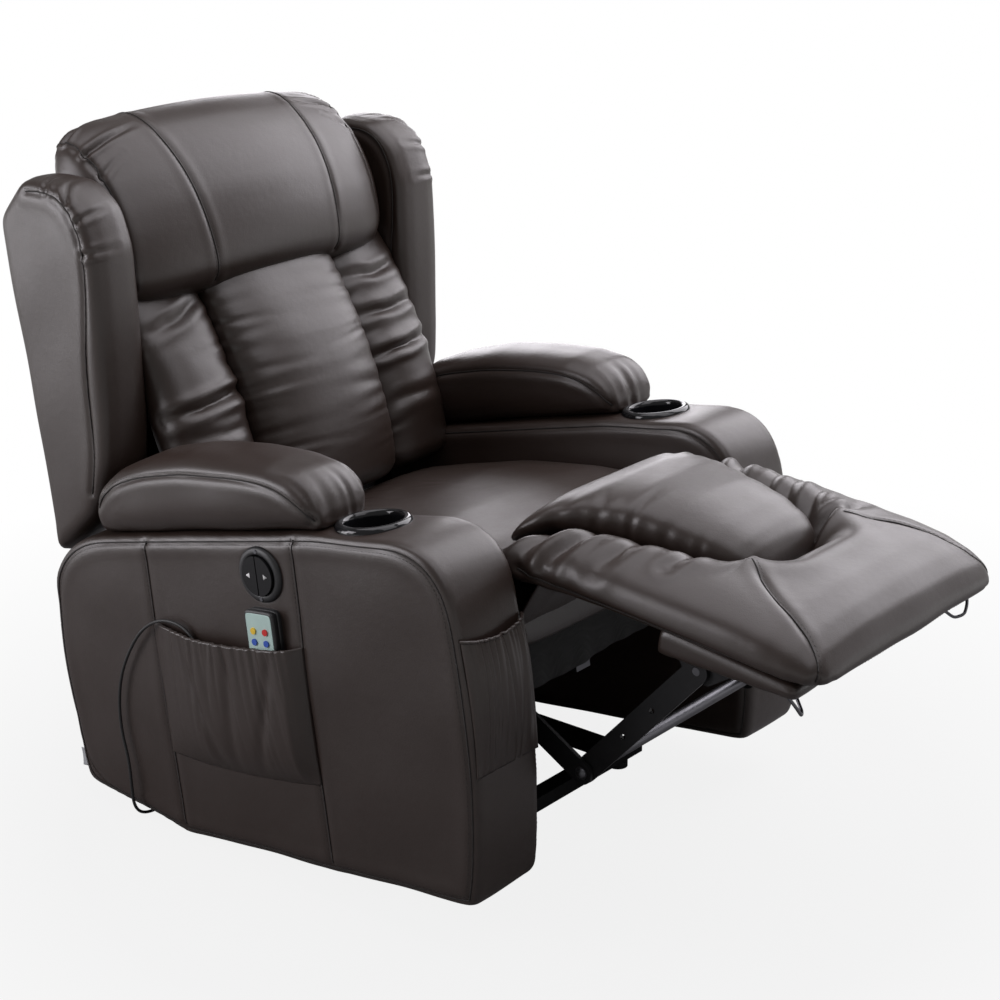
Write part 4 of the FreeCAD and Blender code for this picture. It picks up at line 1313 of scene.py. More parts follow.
@dataclass
class SidePocket(Assembly):
    """Gathered pocket, switch and handset on the sitter's right arm."""

    face: float = -415.0
    front: float = -152.0
    rear: float = 165.0
    low: float = 146.0
    high: float = 356.0
    bulge: float = 26.0
    pleats: Pleats = Pleats((0.03, 0.97, 24), 0.015, 0.10, (0.8, 2.8), (0.008, 0.018), (1.2, 4.5))
    drags: tuple = ((0.2, 0.42, 3.0), (0.55, 0.5, 2.4), (0.85, 0.66, 2.6))
    switch_back: float = SWITCH[0]
    switch_high: float = SWITCH[1]
    bezel: tuple = ((30.6, -0.2), (30.6, 6.6), (31.2, 7.6), (33, 8.3), (36, 8.2), (39.5, 7.2), (41.5, 5.2),
                    (42.2, 2.6), (42.2, -0.5))
    bezel_floor: tuple = ((0.01, 1.6), (30.8, 1.6))
    arrow_out: float = 12.25
    arrow_off: float = 17.0
    handset_low: float = 240.0
    handset_long: float = 170.0
    handset_half: float = 30.0
    handset_thick: float = 20.0

    def build(self) -> None:
        """Makes the pocket, the switch and the handset."""
        self.pouch()
        self.switch()
        self.handset()

    def pouch(self) -> None:
        """The sagging pocket with an elastic hem."""
        u, w = np.meshgrid(np.linspace(0.0, 1.0, 130), np.linspace(0.0, 1.0, 80))
        y = self.rear + u * (self.front - self.rear)
        hem = self.high - 9.0 * np.sin(math.pi * u) + 2.0
        z = self.low + w * (hem - self.low) - 10.0 * np.sin(math.pi * u) * (1 - w) ** 2
        swell = np.clip((self.rear - y) / 104.0, 0, 1) ** 0.8
        swell *= np.clip((y - self.front) / 26.0, 0, 1) ** 0.7
        folds = self.pleats.over(u, w, 71)
        for start, end, deep in self.drags:
            off = u - start - (end - start) * (1 - w)
            folds += deep * np.exp(-(off / 0.035) ** 2) * np.sin(math.pi * w) ** 0.8
        out = 1.5 + self.bulge * swell * (1 - (1 - w) ** 7) - 1.5 * folds * np.clip(swell, 0.2, 1)
        points = np.stack([self.face - np.maximum(out, 0.8), y, z], axis=-1)
        shape = thick(points[:, ::-1], 2.0)
        rim = tube(points[-1] + np.array([0.8, 0.0, -1.5]), 2.4)
        foot = Seam(points[0] + np.array([-0.5, 0.0, 3.0]), rows=(4.0,))
        dashes = Stitching(grid(points[:, ::-1])).dashes(foot)
        made = self.shop.piece("side_pouch", [(shape, "brown_leather")], UPRIGHT, Body.SEAT,
                               "brown_leather", ["side_pocket"])
        hem_piece = self.shop.piece("side_pouch_hem", [(rim, "brown_leather"), (dashes, "dark_thread")],
                                    UPRIGHT, Body.SEAT, "brown_leather")

    def switch(self) -> None:
        """Domed bezel and printed arrows of the switch."""
        centre = (self.face, self.switch_back, self.switch_high)
        parts = [(lathe(profile, centre, Axis.OUT, 80), "matte_black")
                 for profile in (self.bezel, self.bezel_floor)]
        self.shop.piece("switch_bezel", parts, UPRIGHT, Body.SEAT, "matte_black", ["switch_housing"])
        for body, toward in ((Body.KEY_FORWARD, -1), (Body.KEY_BACK, 1)):
            tip = np.array([self.face - self.arrow_out, self.switch_back + toward * self.arrow_off,
                            self.switch_high])
            tail = -toward * 3.0
            flat = [tip + np.array([0, back, up])
                    for back, up in ((toward * 4.5, 0), (tail, 4.0), (tail, 0.0), (tail, -4.0))]
            points = np.array(flat + [spot + np.array([0.5, 0, 0]) for spot in flat])
            faces = np.array([[0, 1, 2, 3], [7, 6, 5, 4], [0, 4, 5, 1], [3, 7, 4, 0]])
            name = body.value.replace("key", "switch_arrow")
            self.shop.piece(name, [(Shape(points, faces), "print_white")], UPRIGHT, body, "matte_black")

    def handset(self) -> None:
        """Rounded two-part shell, film face and window of the handset."""
        middle = self.switch_back
        half = self.handset_half
        low = self.handset_low
        top = low + self.handset_long
        ring = arched([(middle - half, low), (middle + half, low), (middle + half, top),
                       (middle - half, top)], 3.0, 14)
        rear = grid(cushion_slab(ring, self.face - 9.8, self.face - 0.4, 3.0), closed_u=True)
        sections = cushion_slab(ring, self.face - self.handset_thick, self.face - 10.2, 3.5)
        front = grid(sections, closed_u=True)
        back_cap = capped(sections[0])
        self.shop.piece("handset_case_rear", [(rear, "matte_black")], UPRIGHT, Body.SEAT, "matte_black",
                        ["handset_rear_shell"])
        self.shop.piece("handset_case_front", [(front, "matte_black"), (back_cap, "matte_black")], UPRIGHT,
                        Body.SEAT, "matte_black", ["handset_front_shell"])
        film = inset(ring, 4.5)
        face = [np.column_stack([np.full(len(film), self.face - self.handset_thick - lift),
                                 inset(film, draw)])
                for lift, draw in ((0.0, 0.0), (0.6, 0.0), (0.8, 0.5))]
        sheet = grid(np.array(face), closed_u=True)
        near, far = middle - 17, middle + 17
        window = arched([(near, top - 70), (far, top - 70), (far, top - 60), (near, top - 60)], 2.0, 3)
        print_bar = capped(np.column_stack([np.full(len(window), self.face - 20.95), window]))
        self.shop.piece("handset_film",
                        [(sheet, "handset_face"), (capped(face[-1]), "handset_face"),
                         (print_bar, "button_blue")], UPRIGHT, Body.SEAT, "handset_face",
                        ["handset_overlay"])


def capped(ring: Array) -> Shape:
    """Fills a flat ring with rings drawn in towards its middle.

    Args:
        ring: Points of the closed ring.

    Returns:
        The fill.
    """
    middle = ring.mean(axis=0)
    return grid(np.stack([middle + (ring - middle) * share for share in (1.0, 0.66, 0.33, 0.01)]),
                closed_u=True)


@dataclass
class Seat(Assembly):
    """The seat cushion and its boxed front."""

    table: tuple = ((-402, 236, 330, 392), (-398, 250, 322, 414), (-384, 257, 318, 437),
                    (-350, 260, 318, 455), (-320, 261, 351, 464), (-200, 262, 352, 474),
                    (-60, 262, 352, 470), (60, 262, 352, 456), (150, 262, 352, 440), (190, 262, 352, 424),
                    (234, 258, 352, 409), (250, 240, 354, 398))
    front_edge: tuple = ((-255, -395, 420), (-120, -404, 425), (0, -405, 426), (120, -404, 425),
                         (255, -395, 420))

    def build(self) -> None:
        """Makes the cushion."""
        skin = remeshed(pillow(self.table, 5.0, stations=60), 5.0, 6)
        seams = [Seam(self.front_edge, 2.6, 5.5, (5.0,))]
        fan = Gathers(lambda p: p[:, 0], lambda p: 60.0 - p[:, 1], (-220, 220), 8, 1.0, 60.0, 81)
        soft = Ripple(1.2, 240.0, 82)
        self.shop.upholster("seat_pad", skin, UPRIGHT, Body.SEAT, seams, [fan.relief, soft.relief],
                            ["seat_cushion"])


@dataclass
class Back(Assembly):
    """Lumbar pad, bolsters, head roll, wings and rear cover."""

    lumbar_half: float = 146.0
    wing_inner: float = 298.0
    wing_outer: float = 393.0
    lumbar: tuple = ((-10, 120, 0, 88), (-4, 132, 0, 110), (14, 142, 0, 127), (70, 147, 0, 137),
                     (132, 148, 0, 140), (200, 148, 0, 137), (262, 148, 0, 128), (330, 148, 0, 110),
                     (380, 146, 0, 93), (410, 138, 0, 72))
    bolster: tuple = ((-4, 62, 0, 70), (2, 71, 0, 86), (16, 76, 0, 98), (100, 79, 0, 109),
                      (190, 80, 0, 106), (284, 80, 0, 88), (360, 80, 0, 68), (405, 76, 0, 50))
    head_profile: tuple = ((8, 369), (48, 366), (84, 373), (107, 392), (117, 424), (121, 466), (118, 514),
                           (107, 560), (88, 600), (62, 636), (32, 660), (0, 671), (-28, 664), (-46, 640),
                           (-52, 600), (-48, 560), (-18, 548), (2, 540), (2, 460))
    bolster_folds: tuple = (
        (Side.R, ((202, -14, 11.0, 8.5), (362, -40, 6.0, 9.0), (142, 12, 2.6, 7.0))),
        (Side.L, ((330, 6, 6.0, 8.0), (259, 8, 8.0, 8.0), (187, 14, 10.0, 7.5), (108, 4, 3.0, 9.0))))
    head_core: tuple = (30.0, 500.0)
    head_reach: tuple = (318.0, 296.0)
    head_crown: float = 0.3
    head_pleats: tuple = ((0.97, 50, 7.0), (0.84, 84, 9.0), (0.68, 120, 9.0), (0.56, 60, 4.0))
    wing: tuple = ((407, 429), (426, 972), (356, 1028), (276, 1016), (230, 978), (214, 914), (229, 770),
                   (242, 650), (254, 582), (286, 532), (306, 500))
    wing_seam: tuple = ((345, 1010), (287, 1008), (258, 992), (240, 960), (235, 912), (248, 825),
                        (266, 758), (275, 677), (277, 600), (300, 540))
    wing_folds: tuple = (((256, 996), (284, 1016)), ((238, 962), (231, 976)), ((234, 912), (219, 918)),
                         ((300, 1010), (318, 1022)))
    rear_outline: tuple = ((-262, 380), (262, 380), (262, 561), (299, 609), (299, 1000, 22), (-299, 1000),
                           (-299, 609), (-262, 561))
    rear_swell: float = 7.0

    def build(self) -> None:
        """Makes all of the back's soft pieces."""
        self.lumbar_piece()
        for side in Side:
            self.bolster_piece(side)
            self.wing_piece(side)
        self.head_piece()
        self.rear_cover()

    def lumbar_piece(self) -> None:
        """Middle pad, gathered along both side seams."""
        skin = remeshed(laid(pillow(self.lumbar, 2.5, stations=50)), 4.0, 6)
        reliefs = []
        for side in Side:
            reliefs.append(Gathers(lambda p: p[:, 2], lambda p, s=side.value: 146.0 - s * p[:, 0],
                                   (20, 370), 14, 1.5, 74.0, 91 + side.value, 0.12, 4.6).relief)
        reliefs.append(Ripple(0.8, 190.0, 93).relief)
        self.shop.upholster("lumbar_cushion", skin, LEAN, Body.BACK, [], reliefs, ["lumbar_pad"])

    def bolster_piece(self, side: Side) -> None:
        """Side roll pulled into a few deep folds.

        Args:
            side: Side of the chair.
        """
        sign = side.value
        centre = sign * (self.lumbar_half + 76.0)
        skin = remeshed(laid(pillow(self.bolster, 2.4, centre, stations=50)), 4.0, 5)
        inner = sign * (self.lumbar_half + 6.0)
        outer = sign * (self.lumbar_half + 146.0)
        reliefs = []
        for z, rise, deep, wide in dict(self.bolster_folds)[side]:
            path = [(inner, -52, z), (centre, -110, z + rise * 0.4), (outer, -60, z + rise)]
            reliefs.append(Crease(path, deep, wide).relief)
        reliefs.append(Gathers(lambda p: p[:, 2], lambda p: sign * p[:, 0] - self.lumbar_half - 4.0,
                               (20, 380), 9, 1.9, 30.0, 111 + sign, 0.4, 5.0).relief)
        reliefs.append(Ripple(1.2, 130.0, 121 + sign).relief)
        self.shop.upholster(f"bolster_roll_{side.name}", skin, LEAN, Body.BACK, [], reliefs,
                            [f"bolster_{side.name}"])

    def head_piece(self) -> None:
        """Fat head roll with two upright seams and pleated ends."""
        profile = np.array(self.head_profile, dtype=float)
        closed = np.vstack([profile, profile[:1]])
        lengths = travelled(closed)
        even = np.linspace(0.0, lengths[-1], 120, endpoint=False)
        ring = eased(np.stack([np.interp(even, lengths, closed[:, axis]) for axis in range(2)], axis=1), 6)
        core = np.array(self.head_core)
        sections = []
        for share in np.sin(np.linspace(-math.pi / 2, math.pi / 2, 61)):
            ends = max(1.0 - abs(share) ** 12, 0.02) ** 0.3
            fall = 0.13 * abs(share) ** 4 if share < 0 else 0.19 * share ** 2.0
            drop = 1.0 + (0.025 - fall) * np.clip((ring[:, 1] - 480) / 150, 0, 1)[:, None]
            drawn = core + (ring - core) * ends * drop
            drawn[:, 0] *= 1.0 - self.head_crown * abs(share) ** 2.2
            reach = self.head_reach[0] if share < 0 else self.head_reach[1]
            sections.append(np.column_stack([np.full(len(ring), share * reach), -drawn[:, 0], drawn[:, 1]]))
        skin = remeshed(np.array(sections), 3.6, 7)
        front = ring[(ring[:, 0] > 20) | (ring[:, 1] > 640)]
        front = front[np.argsort(np.arctan2(front[:, 1] - core[1], front[:, 0]))]
        front = front[front[:, 1] > 374]
        reliefs = [Ripple(1.0, 210.0, 133).relief]
        seams = []
        for sign, reach in ((-1, self.head_reach[0]), (1, self.head_reach[1])):
            lean = sign * (138.0 + 22.0 * np.clip((front[:, 1] - 380) / 290, 0, 1))
            seams.append(Seam(np.column_stack([lean, -front[:, 0], front[:, 1]]), 3.0, 4.0))
            band = core + (front - core) * 0.955
            edge = np.column_stack([np.full(len(front), sign * (reach - 17)), -band[:, 0], band[:, 1]])
            seams.append(Seam(edge, 3.4, 4.4, ()))
            for share, long, deep in self.head_pleats:
                spot = edge[int(share * (len(edge) - 1))]
                tail = spot + np.array([-sign * long, 0.0, 0.0])
                bend = front[min(int((share + 0.06) * (len(front) - 1)), len(front) - 1)]
                tail[1:] = (-bend[0], bend[1])
                reliefs.append(Crease([spot, (spot + tail) / 2, tail], deep * 0.8, 4.6, rooted=True).relief)
        self.shop.upholster("head_roll", skin, LEAN, Body.BACK, seams, reliefs, ["head_cushion"])

    def wing_piece(self, side: Side) -> None:
        """Tall side wing with a front strip sewn on.

        Args:
            side: Side of the chair.
        """
        sign = side.value
        ring = arched(self.wing, 5.0, 16)
        near, far = sorted((sign * self.wing_inner, sign * self.wing_outer))
        skin = remeshed(cushion_slab(ring, near, far, 19.0, 3.0), 3.8, 6)
        seams = [Seam([(sign * (self.wing_outer - 2), y, z) for y, z in self.wing_seam], 3.6, 4.6, (5.0,)),
                 Seam([(sign * (self.wing_inner + 2), y, z) for y, z in self.wing_seam], 2.4, 4.6, ())]
        reliefs = [Ripple(1.2, 190.0, 141 + sign).relief]
        for start, end in self.wing_folds:
            path = [(sign * (self.wing_outer - 3), *start), (sign * (self.wing_outer - 26), *end),
                    (sign * (self.wing_outer - 58), *end)]
            reliefs.append(Crease(path, 3.6, 4.4, rooted=True).relief)
        self.shop.upholster(f"wing_cover_{side.name}", skin, UPRIGHT, Body.BACK, seams, reliefs,
                            [f"wing_{side.name}"])

    def rear_cover(self) -> None:
        """Padded panel behind the back."""
        ring = arched(self.rear_outline, 6.0, 10)
        sections = cushion_slab(ring, 386.0, 406.0, 7.0)[..., [1, 0, 2]]
        skin = remeshed(sections, 5.0, 3)

        def belly(points: Array, normals: Array) -> Array:
            """Swell of the rear face."""
            plump = dome(points[:, 0], 0.0, 300.0) * dome(points[:, 2], 700.0, 320.0)
            return self.rear_swell * plump * np.clip(normals[:, 1], 0, 1)

        seams = [Seam([(sign * 150, 413, 386), (sign * 150, 413, 995)], 2.6, 5.5, (5.0,))
                 for sign in (-1, 1)]
        self.shop.upholster("rear_cover", skin, UPRIGHT, Body.BACK, seams,
                            [belly, Ripple(1.4, 180.0, 151).relief], ["back_rear_panel"])


@dataclass
class Footrest(Assembly):
    """Footrest cushion, raised pad, wrapped board and wire hooks."""

    border: tuple = ((-470, 198, -36, -27), (-464, 224, -39, -11), (-448, 243, -41, 7),
                     (-420, 253, -43, 22), (-380, 258, -44, 33), (-330, 259, -45, 37), (-230, 259, -50, 34),
                     (-110, 258, -56, 28), (-40, 257, -62, 18), (0, 256, -66, 7), (34, 254, -72, -6),
                     (60, 252, -80, -22), (90, 247, -92, -46), (108, 236, -100, -66), (114, 220, -102, -78))
    pad: tuple = ((-262, 50, -30, -6), (-258, 70, -32, 8), (-246, 88, -34, 24), (-225, 101, -36, 38),
                  (-190, 112, -38, 49), (-130, 124, -38, 56), (-60, 134, -38, 55), (0, 148, -42, 44),
                  (36, 164, -48, 28), (62, 178, -58, 9), (84, 184, -68, -14), (98, 176, -76, -38),
                  (104, 158, -80, -54))
    folds: tuple = (((-1, 1), (150, -10, -5), (205, 12, 0), (254, 20, -36), 10.0, 11.0),
                    ((-1, 1), (140, -62, 0), (205, -44, 14), (256, -28, -28), 9.0, 10.0),
                    ((-1, 1), (135, -128, 0), (200, -116, 22), (254, -102, -4), 5.0, 12.0),
                    ((-1, 1), (108, -216, -8), (150, -204, 18), (206, -188, 22), 5.0, 9.0),
                    ((1,), (104, -244, -8), (146, -258, 22), (196, -262, 26), 7.0, 9.0),
                    ((1,), (126, -168, -6), (176, -150, 20), (232, -134, 12), 6.0, 10.0))
    front_seam: tuple = ((100, -252, -8), (118, -278, 18), (158, -312, 28), (182, -350, 28),
                         (197, -392, 22), (211, -428, 8), (228, -456, -12), (238, -462, -34))
    edge_seam: tuple = ((-254, 20, -50), (-258, -140, -46), (-258, -300, -43), (-252, -420, -41),
                        (-226, -458, -38), (0, -468, -36), (226, -458, -38), (252, -420, -41),
                        (258, -300, -43), (258, -140, -46), (254, 20, -50))
    board_outline: tuple = ((-440, -66), (-215, -88), (-215, -44), (-440, -44))
    board_half: float = 250.0
    hook: tuple = ((190, -398, -68), (196, -412, -86), (206, -430, -98), (222, -438, -94), (232, -434, -80),
                   (240, -424, -66))
    moat_deep: float = 50.0
    moat_wide: float = 29.0
    hinge_front: float = -40.0
    hinge_rear: float = 62.0

    def build(self) -> None:
        """Makes the footrest's pieces."""
        self.border_piece()
        self.pad_piece()
        self.board()
        self.hooks()

    def border_piece(self) -> None:
        """Broad border that wraps the pad on three sides."""
        skin = remeshed(pillow(self.border, 2.8, stations=64, waist=0.2, under=6.0), 4.0, 6)
        rows = np.array(self.pad, dtype=float)

        def moat(points: Array, normals: Array) -> Array:
            """Trench round the raised pad.

            Args:
                points: Points of the skin.
                normals: Unit normals there.

            Returns:
                Millimetres outwards at each point.
            """
            half = np.interp(points[:, 1], rows[:, 0], rows[:, 1])
            side = np.maximum(np.abs(points[:, 0]) - half, 0.0)
            ahead = np.maximum(rows[0, 0] - points[:, 1], 0.0)
            away = np.hypot(side, ahead)
            roll = 5.0 * np.exp(-((away - 62.0) / 30.0) ** 2)
            trench = self.moat_deep * np.exp(-(away / self.moat_wide) ** 1.6)
            return (roll - trench) * np.clip(normals[:, 2] * 1.5, 0, 1)

        reliefs: list = [moat]
        for sides, first, second, third, deep, wide in self.folds:
            for s in sides:
                path = np.array([first, second, third], dtype=float) * np.array([s, 1, 1])
                reliefs.append(Crease(path, deep, wide).relief)
        reliefs.append(Ripple(1.2, 170.0, 191).relief)
        seams = [Seam(np.array(self.front_seam) * np.array([s, 1, 1]), 3.4, 4.4, (5.0,)) for s in (-1, 1)]
        seams.append(Seam(self.edge_seam, 3.0, 4.4, (5.0,)))
        made = self.shop.upholster("footrest_cushion", skin, REST, None, seams, reliefs,
                                   ["footrest_border"])
        self.bend(made)

    def bend(self, made: bpy.types.Object) -> None:
        """Bakes the piece's placement into its mesh.

        Args:
            made: The piece.
        """
        tuple(REST.row((0.0, self.hinge_front, 0.0)))
        tuple(REST.row((0.0, self.hinge_rear, 0.0)))
        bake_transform(made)

    def pad_piece(self) -> None:
        """Raised pillow in the middle."""
        skin = remeshed(pillow(self.pad, 2.7, stations=50), 4.0, 6)
        reliefs = []
        for side in Side:
            reliefs.append(Gathers(lambda p: p[:, 1], lambda p, s=side.value: 136.0 - s * p[:, 0],
                                   (-190, 50), 5, 2.2, 44.0, 201 + side.value, 0.6, 7.0).relief)
        reliefs.append(Ripple(1.2, 170.0, 205).relief)
        made = self.shop.upholster("footrest_pillow", skin, REST, None, [], reliefs, ["footrest_pad"])
        self.bend(made)

    def board(self) -> None:
        """Board under the cushion, wrapped in leather."""
        ring = arched(self.board_outline, 5.0, 6)
        skin = remeshed(cushion_slab(ring, -self.board_half, self.board_half, 9.0), 5.0, 4)
        self.shop.upholster("footrest_underside", skin, REST, Body.FOOT, [],
                            [Ripple(1.2, 120.0, 211).relief], ["footrest_board"])

    def hooks(self) -> None:
        """Bent wire hooks and their springs under the front corners."""
        parts = []
        for s in (-1, 1):
            bend = resampled(np.array(self.hook, dtype=float) * np.array([s, 1, 1]), 2.0)
            parts.append((tube(bend, 2.4), "bright_steel"))
            turn = np.linspace(0.0, 2 * math.pi * 7, 140)
            coil = np.column_stack([s * (150 + turn * 0.9), -392 + 5 * np.cos(turn),
                                    -76 + 5 * np.sin(turn)])
            parts.append((tube(coil, 1.1, 6), "bright_steel"))
        self.shop.piece("footrest_hooks", parts, REST, Body.FOOT, "bright_steel")


@dataclass
class Covers(Assembly):
    """Loose leather that bridges the seat to the footrest and the seat to the back."""

    half: float = 250.0
    front_path: tuple = ((-392, 352), (-412, 372), (-440, 410), (-474, 452))
    rear_path: tuple = ((386, 236), (392, 262), (398, 320), (399, 372), (396, 402))
    skirt_outline: tuple = ((-268, 65), (268, 65), (268, 250), (-268, 250))
    cloth_half: float = 195.0
    cloth_back: float = -342.5
    cloth_low: float = 232.0
    cloth_tall: float = 88.0

    def build(self) -> None:
        """Makes both covers, the dust cloth and the rear skirt."""
        self.front_flap()
        self.dust_cloth()
        self.rear_flap()
        self.skirt()

    def flap(self, name: str, path: Sequence, depth: float, seed: int) -> bpy.types.Object:
        """A hung sheet across the chair.

        Args:
            name: Name of the piece.
            path: Pairs of y and z from its lower to its upper edge.
            depth: How deep it wrinkles.
            seed: Choice of wrinkles.

        Returns:
            The sheet, not yet riding on a body.
        """
        line = resampled(np.array(path, dtype=float), 5.0)
        across = np.linspace(-self.half, self.half, 100)
        points = np.stack([np.repeat(across[None], len(line), axis=0), np.repeat(line[:, :1], 100, axis=1),
                           np.repeat(line[:, 1:], 100, axis=1)], axis=-1)
        draw = np.random.default_rng(seed)
        wave = sum(np.sin(across / draw.uniform(9, 38) + draw.uniform(0, 6)) for _ in range(6)) / 6
        points[..., 1] += depth * wave[None] * np.sin(np.linspace(0, math.pi, len(line)))[:, None]
        made = self.shop.piece(name, [(thick(points, 2.0), "brown_leather")], UPRIGHT, None,
                               "brown_leather")
        return made

    def front_flap(self) -> None:
        """Flap from the seat's front to the rear of the footrest."""
        made = self.flap("front_flap", self.front_path, 5.0, 221)
        tuple(UPRIGHT.row((0.0, -398.0, 358.0)))
        tuple(UPRIGHT.row((0.0, -470.0, 446.0)))
        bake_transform(made)

    def dust_cloth(self) -> None:
        """Black cloth that hangs from the front rail and hides the drive."""
        u, w = np.meshgrid(np.linspace(-self.cloth_half, self.cloth_half, 90), np.linspace(0.0, 1.0, 30))
        sway = 2.0 * np.sin(u / 21.0) * (1 - w) + 1.4 * np.sin(u / 8.3 + 1.0) * (1 - w) ** 2
        z = self.cloth_low + self.cloth_tall * w + 4.0 * np.sin(u / 60.0) * (1 - w)
        points = np.stack([u, self.cloth_back + sway, z], axis=-1)
        made = self.shop.piece("dust_cloth", [(thick(points, 1.2), "black_cloth")], UPRIGHT, Body.SEAT,
                               "seat_web")

    def rear_flap(self) -> None:
        """Flap from the rear skirt to the cover behind the back."""
        made = self.flap("rear_flap", self.rear_path, 4.0, 222)
        tuple(UPRIGHT.row((0.0, 390.0, 250.0)))
        tuple(UPRIGHT.row((0.0, 398.0, 388.0)))
        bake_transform(made)

    def skirt(self) -> None:
        """Padded skirt below the back."""
        ring = arched(self.skirt_outline, 6.0, 8)
        skin = remeshed(cushion_slab(ring, 370.0, 386.0, 5.5)[..., [1, 0, 2]], 5.0, 3)
        self.shop.upholster("rear_skirt_cover", skin, UPRIGHT, Body.SEAT, [],
                            [Ripple(1.2, 140.0, 231).relief], ["rear_skirt"])


@dataclass
class Fasteners(Assembly):
    """Rivets and nuts on the linkage, and the hanging care tag."""

    crank: tuple = (-250.0, 320.0)
    knee: tuple = (-478.0, 147.0)
    foot: tuple = (-690.0, 328.0)
    head: tuple = ((0.01, 4.6), (3.0, 4.3), (5.6, 3.2), (7.4, 1.4), (8.0, 0.0))

    def build(self) -> None:
        """Makes the rivets and the tag."""
        for body, spots in ((Body.CRANK, ((220.0, self.knee), (220.0, self.crank))),
                            (Body.FOOT, ((200.0, self.foot),)), (Body.LINKS, ((207.0, self.knee),))):
            parts = []
            for reach, (back, high) in spots:
                for sign in (-1, 1):
                    shape = lathe(self.head, (0.0, back, high), Axis.OUT, 24)
                    shape.points[:, 0] = shape.points[:, 0] * -sign + sign * reach
                    parts.append((shape, "bright_steel"))
            self.shop.piece(f"rivets_{body.value}", parts, UPRIGHT, body, "bright_steel")
        u, w = np.meshgrid(np.linspace(0.0, 1.0, 8), np.linspace(0.0, 1.0, 12))
        tag = np.stack([-398.0 + 0.0 * u, 400.0 + 18.0 * u, 74.0 + 30.0 * w], axis=-1)
        tag[..., 0] += 2.0 * np.sin(w * 2.5)
        self.shop.piece("blank_tag", [(thick(tag, 0.8), "tag_grey")], UPRIGHT, Body.SEAT, "matte_black")


@dataclass
class HandsetCord(Assembly):
    """Limp cord from the handset over the pocket's hem, down and in under the arm."""

    radius: float = 2.5
    length: float = 1.222
    route: tuple = (
        (-425, -85, 240), (-425, -85, 212), (-428, -66, 184), (-429, -32, 176), (-430, 4, 196),
        (-430, 30, 236), (-428, 46, 284), (-427, 60, 330), (-427, 88, 363), (-430, 134, 370),
        (-430, 182, 348), (-429, 222, 306), (-428, 252, 260), (-427, 268, 212), (-427, 272, 164),
        (-428, 264, 118), (-429, 266, 72), (-427, 270, 38), (-410, 271, 19), (-374, 267, 18),
        (-330, 255, 18), (-286, 242, 19), (-250, 228, 38), (-222, 208, 82), (-188, 184, 128),
        (-154, 160, 166), (-126, 132, 192), (-120, 125, 220), (-120, 125, 243))

    def build(self) -> None:
        """Makes the cord as one smooth curve."""
        curve = bpy.data.curves.new("handset_lead", "CURVE")
        curve.dimensions = "3D"
        curve.bevel_depth = self.radius * MM
        curve.bevel_resolution = 4
        curve.use_fill_caps = True
        spline = curve.splines.new("NURBS")
        points = UPRIGHT.row(self.route)
        spline.points.add(len(points) - 1)
        for point, spot in zip(spline.points, points):
            point.co = (*spot, 1.0)
        spline.order_u = 3
        spline.use_endpoint_u = True
        spline.resolution_u = 12
        curve.materials.append(self.shop.finishes["cord_black"])
        made = linked("handset_lead", curve)
        bpy.context.view_layer.update()
        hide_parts("handset_cord")
        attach(made, Body.SEAT.value)
        LOG.info("handset_lead: %d points", len(points))


# Studio


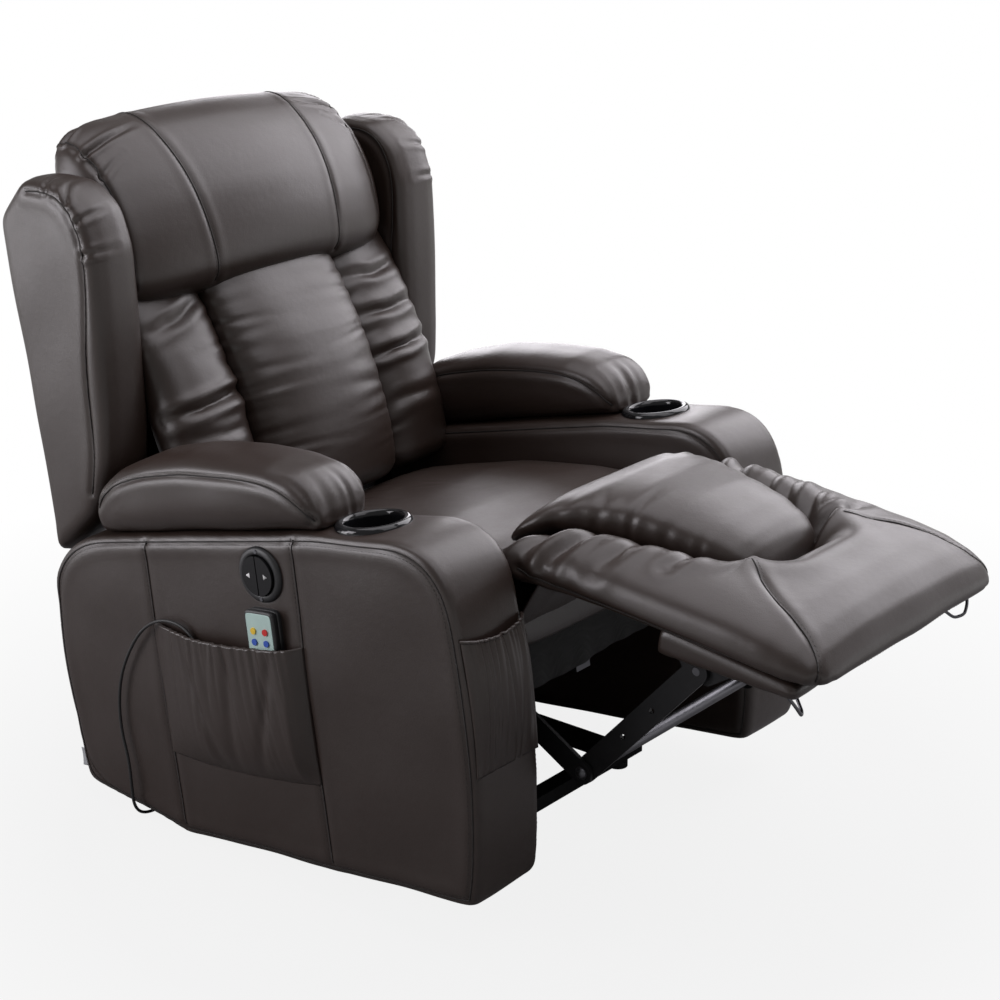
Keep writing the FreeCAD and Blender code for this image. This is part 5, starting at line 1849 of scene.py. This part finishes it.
@dataclass
class Studio:
    """Pale floor, soft light and the camera at the photograph's angle."""

    eye: tuple = (-2.5276, -2.0303, 1.6749)
    down: float = 19.651
    yaw: float = -50.896
    lens: float = 80.65
    tint: tuple = (1.0, 0.97, 1.02)
    room: float = 0.2
    gleam: float = 0.08
    sensor: float = 36.0
    floor_half: float = 30.0
    floor_grey: tuple = (0.27, 0.27, 0.27)
    shadow: tuple = (0.7, 1.7, 0.86)
    mirror: tuple = (1.6, 4.0)
    white: tuple = (1.0, 1.0, 1.0)
    lamps: tuple = (
        ("top", (0.1, 0.3, 3.2), (0.0, 0.0, 0.3), 2.4, 33.0),
        ("key", (0.0, -1.8, 3.2), (0.0, 0.1, 0.7), 2.2, 22.0),
        ("right", (2.5, -0.3, 2.3), (0.0, -0.1, 0.6), 2.7, 86.0),
        ("window", (2.2, 2.0, 1.1), (0.0, -0.1, 0.5), 1.5, 25.0),
        ("left", (-2.6, 1.8, 1.7), (0.0, 0.3, 0.7), 1.6, 44.0),
        ("left_low", (-2.5, 2.9, 0.8), (-0.4, 0.4, 0.8), 1.4, 29.0),
        ("front", (2.4, -2.5, 1.0), (0.0, 0.3, 0.8), 1.6, 7.0))

    def build(self) -> None:
        """Makes the floor, lamps, world and camera."""
        bpy.context.scene.view_settings.view_transform = "Standard"
        self.floor()
        self.light()
        self.camera()

    def floor(self) -> None:
        """A wide pale floor that shows white and keeps the shadow."""
        g = Graph("studio_floor")
        matte = g.node("ShaderNodeBsdfDiffuse", None, {"Color": rgba(self.floor_grey)})
        white = g.node("ShaderNodeEmission", None, {"Color": rgba(self.white), "Strength": 1.0})
        place = g.node("ShaderNodeNewGeometry", output="Position")
        away = g.node("ShaderNodeVectorMath", {"operation": "LENGTH"}, {0: place}, "Value")
        near = g.node("ShaderNodeMapRange", None,
                      {"Value": away, "From Min": self.shadow[0], "From Max": self.shadow[1],
                       "To Min": self.shadow[2], "To Max": 1.0}, "Result")
        far = g.node("ShaderNodeMapRange", None,
                     {"Value": away, "From Min": self.mirror[0], "From Max": self.mirror[1]}, "Result")
        seen = (g.ray("Camera") + g.ray("Transmission")) * near + g.ray("Glossy") * far
        shown = g.node("ShaderNodeMixShader", None, {0: seen, 1: matte, 2: white})
        g.node("ShaderNodeOutputMaterial", None, {"Surface": shown})
        mesh = bpy.data.meshes.new("studio_floor")
        corners = [(x * self.floor_half, y * self.floor_half, 0)
                   for x, y in ((-1, -1), (1, -1), (1, 1), (-1, 1))]
        mesh.from_pydata(corners, [], [(0, 1, 2, 3)])
        mesh.materials.append(g.owner)
        linked("studio_floor", mesh)

    def light(self) -> None:
        """Soft lamps and a white room."""
        for name, place, aim, size, power in self.lamps:
            lamp = bpy.data.lights.new(name, "AREA")
            lamp.shape = "SQUARE"
            lamp.size = size
            lamp.energy = power
            lamp.color = self.tint
            made = linked(name, lamp)
            made.location = place
            made.rotation_euler = (Vector(aim) - Vector(place)).to_track_quat("-Z", "Y").to_euler()
        g = Graph("studio_room", bpy.data.worlds)
        room, white = [g.node("ShaderNodeBackground", None, {"Color": rgba(self.white), "Strength": level})
                       for level in (self.room, 1.0)]
        seen = g.ray("Camera") + g.ray("Transmission") + g.ray("Glossy") * self.gleam
        shown = g.node("ShaderNodeMixShader", None, {0: seen, 1: room, 2: white})
        g.node("ShaderNodeOutputWorld", None, {"Surface": shown})
        bpy.context.scene.world = g.owner

    def camera(self) -> None:
        """Camera at the photograph's place and lens."""
        data = bpy.data.cameras.new("photo_camera")
        data.lens = self.lens
        data.sensor_width = self.sensor
        data.sensor_fit = "HORIZONTAL"
        made = linked("photo_camera", data)
        made.location = self.eye
        made.rotation_euler = (math.radians(90.0 - self.down), 0.0, math.radians(self.yaw))
        bpy.context.scene.camera = made


def dress_frame(shop: Workshop) -> None:
    """Gives every CAD node that stays in sight the finish of its slot.

    Args:
        shop: Keeper of the finishes.
    """
    slots = {item["node"]: item["material_slot"] for item in frame["record"]["subparts"]}
    for node, part in frame["nodes"].items():
        finish = shop.finishes[slots[node]]
        if not part.material_slots:
            part.data.materials.append(finish)
        for holder in part.material_slots:
            holder.material = finish


def main() -> None:
    """Builds the studio and every sub-assembly in order."""
    logging.basicConfig(level=logging.INFO, format="%(message)s")
    shop = Workshop()
    dress_frame(shop)
    for assembly in (Studio(), HandsetCord(shop), Arm(shop, Side.R), Arm(shop, Side.L), SidePocket(shop),
                     Seat(shop), Back(shop), Footrest(shop), Covers(shop), Fasteners(shop)):
        assembly.build()


if __name__ == "__main__":
    main()
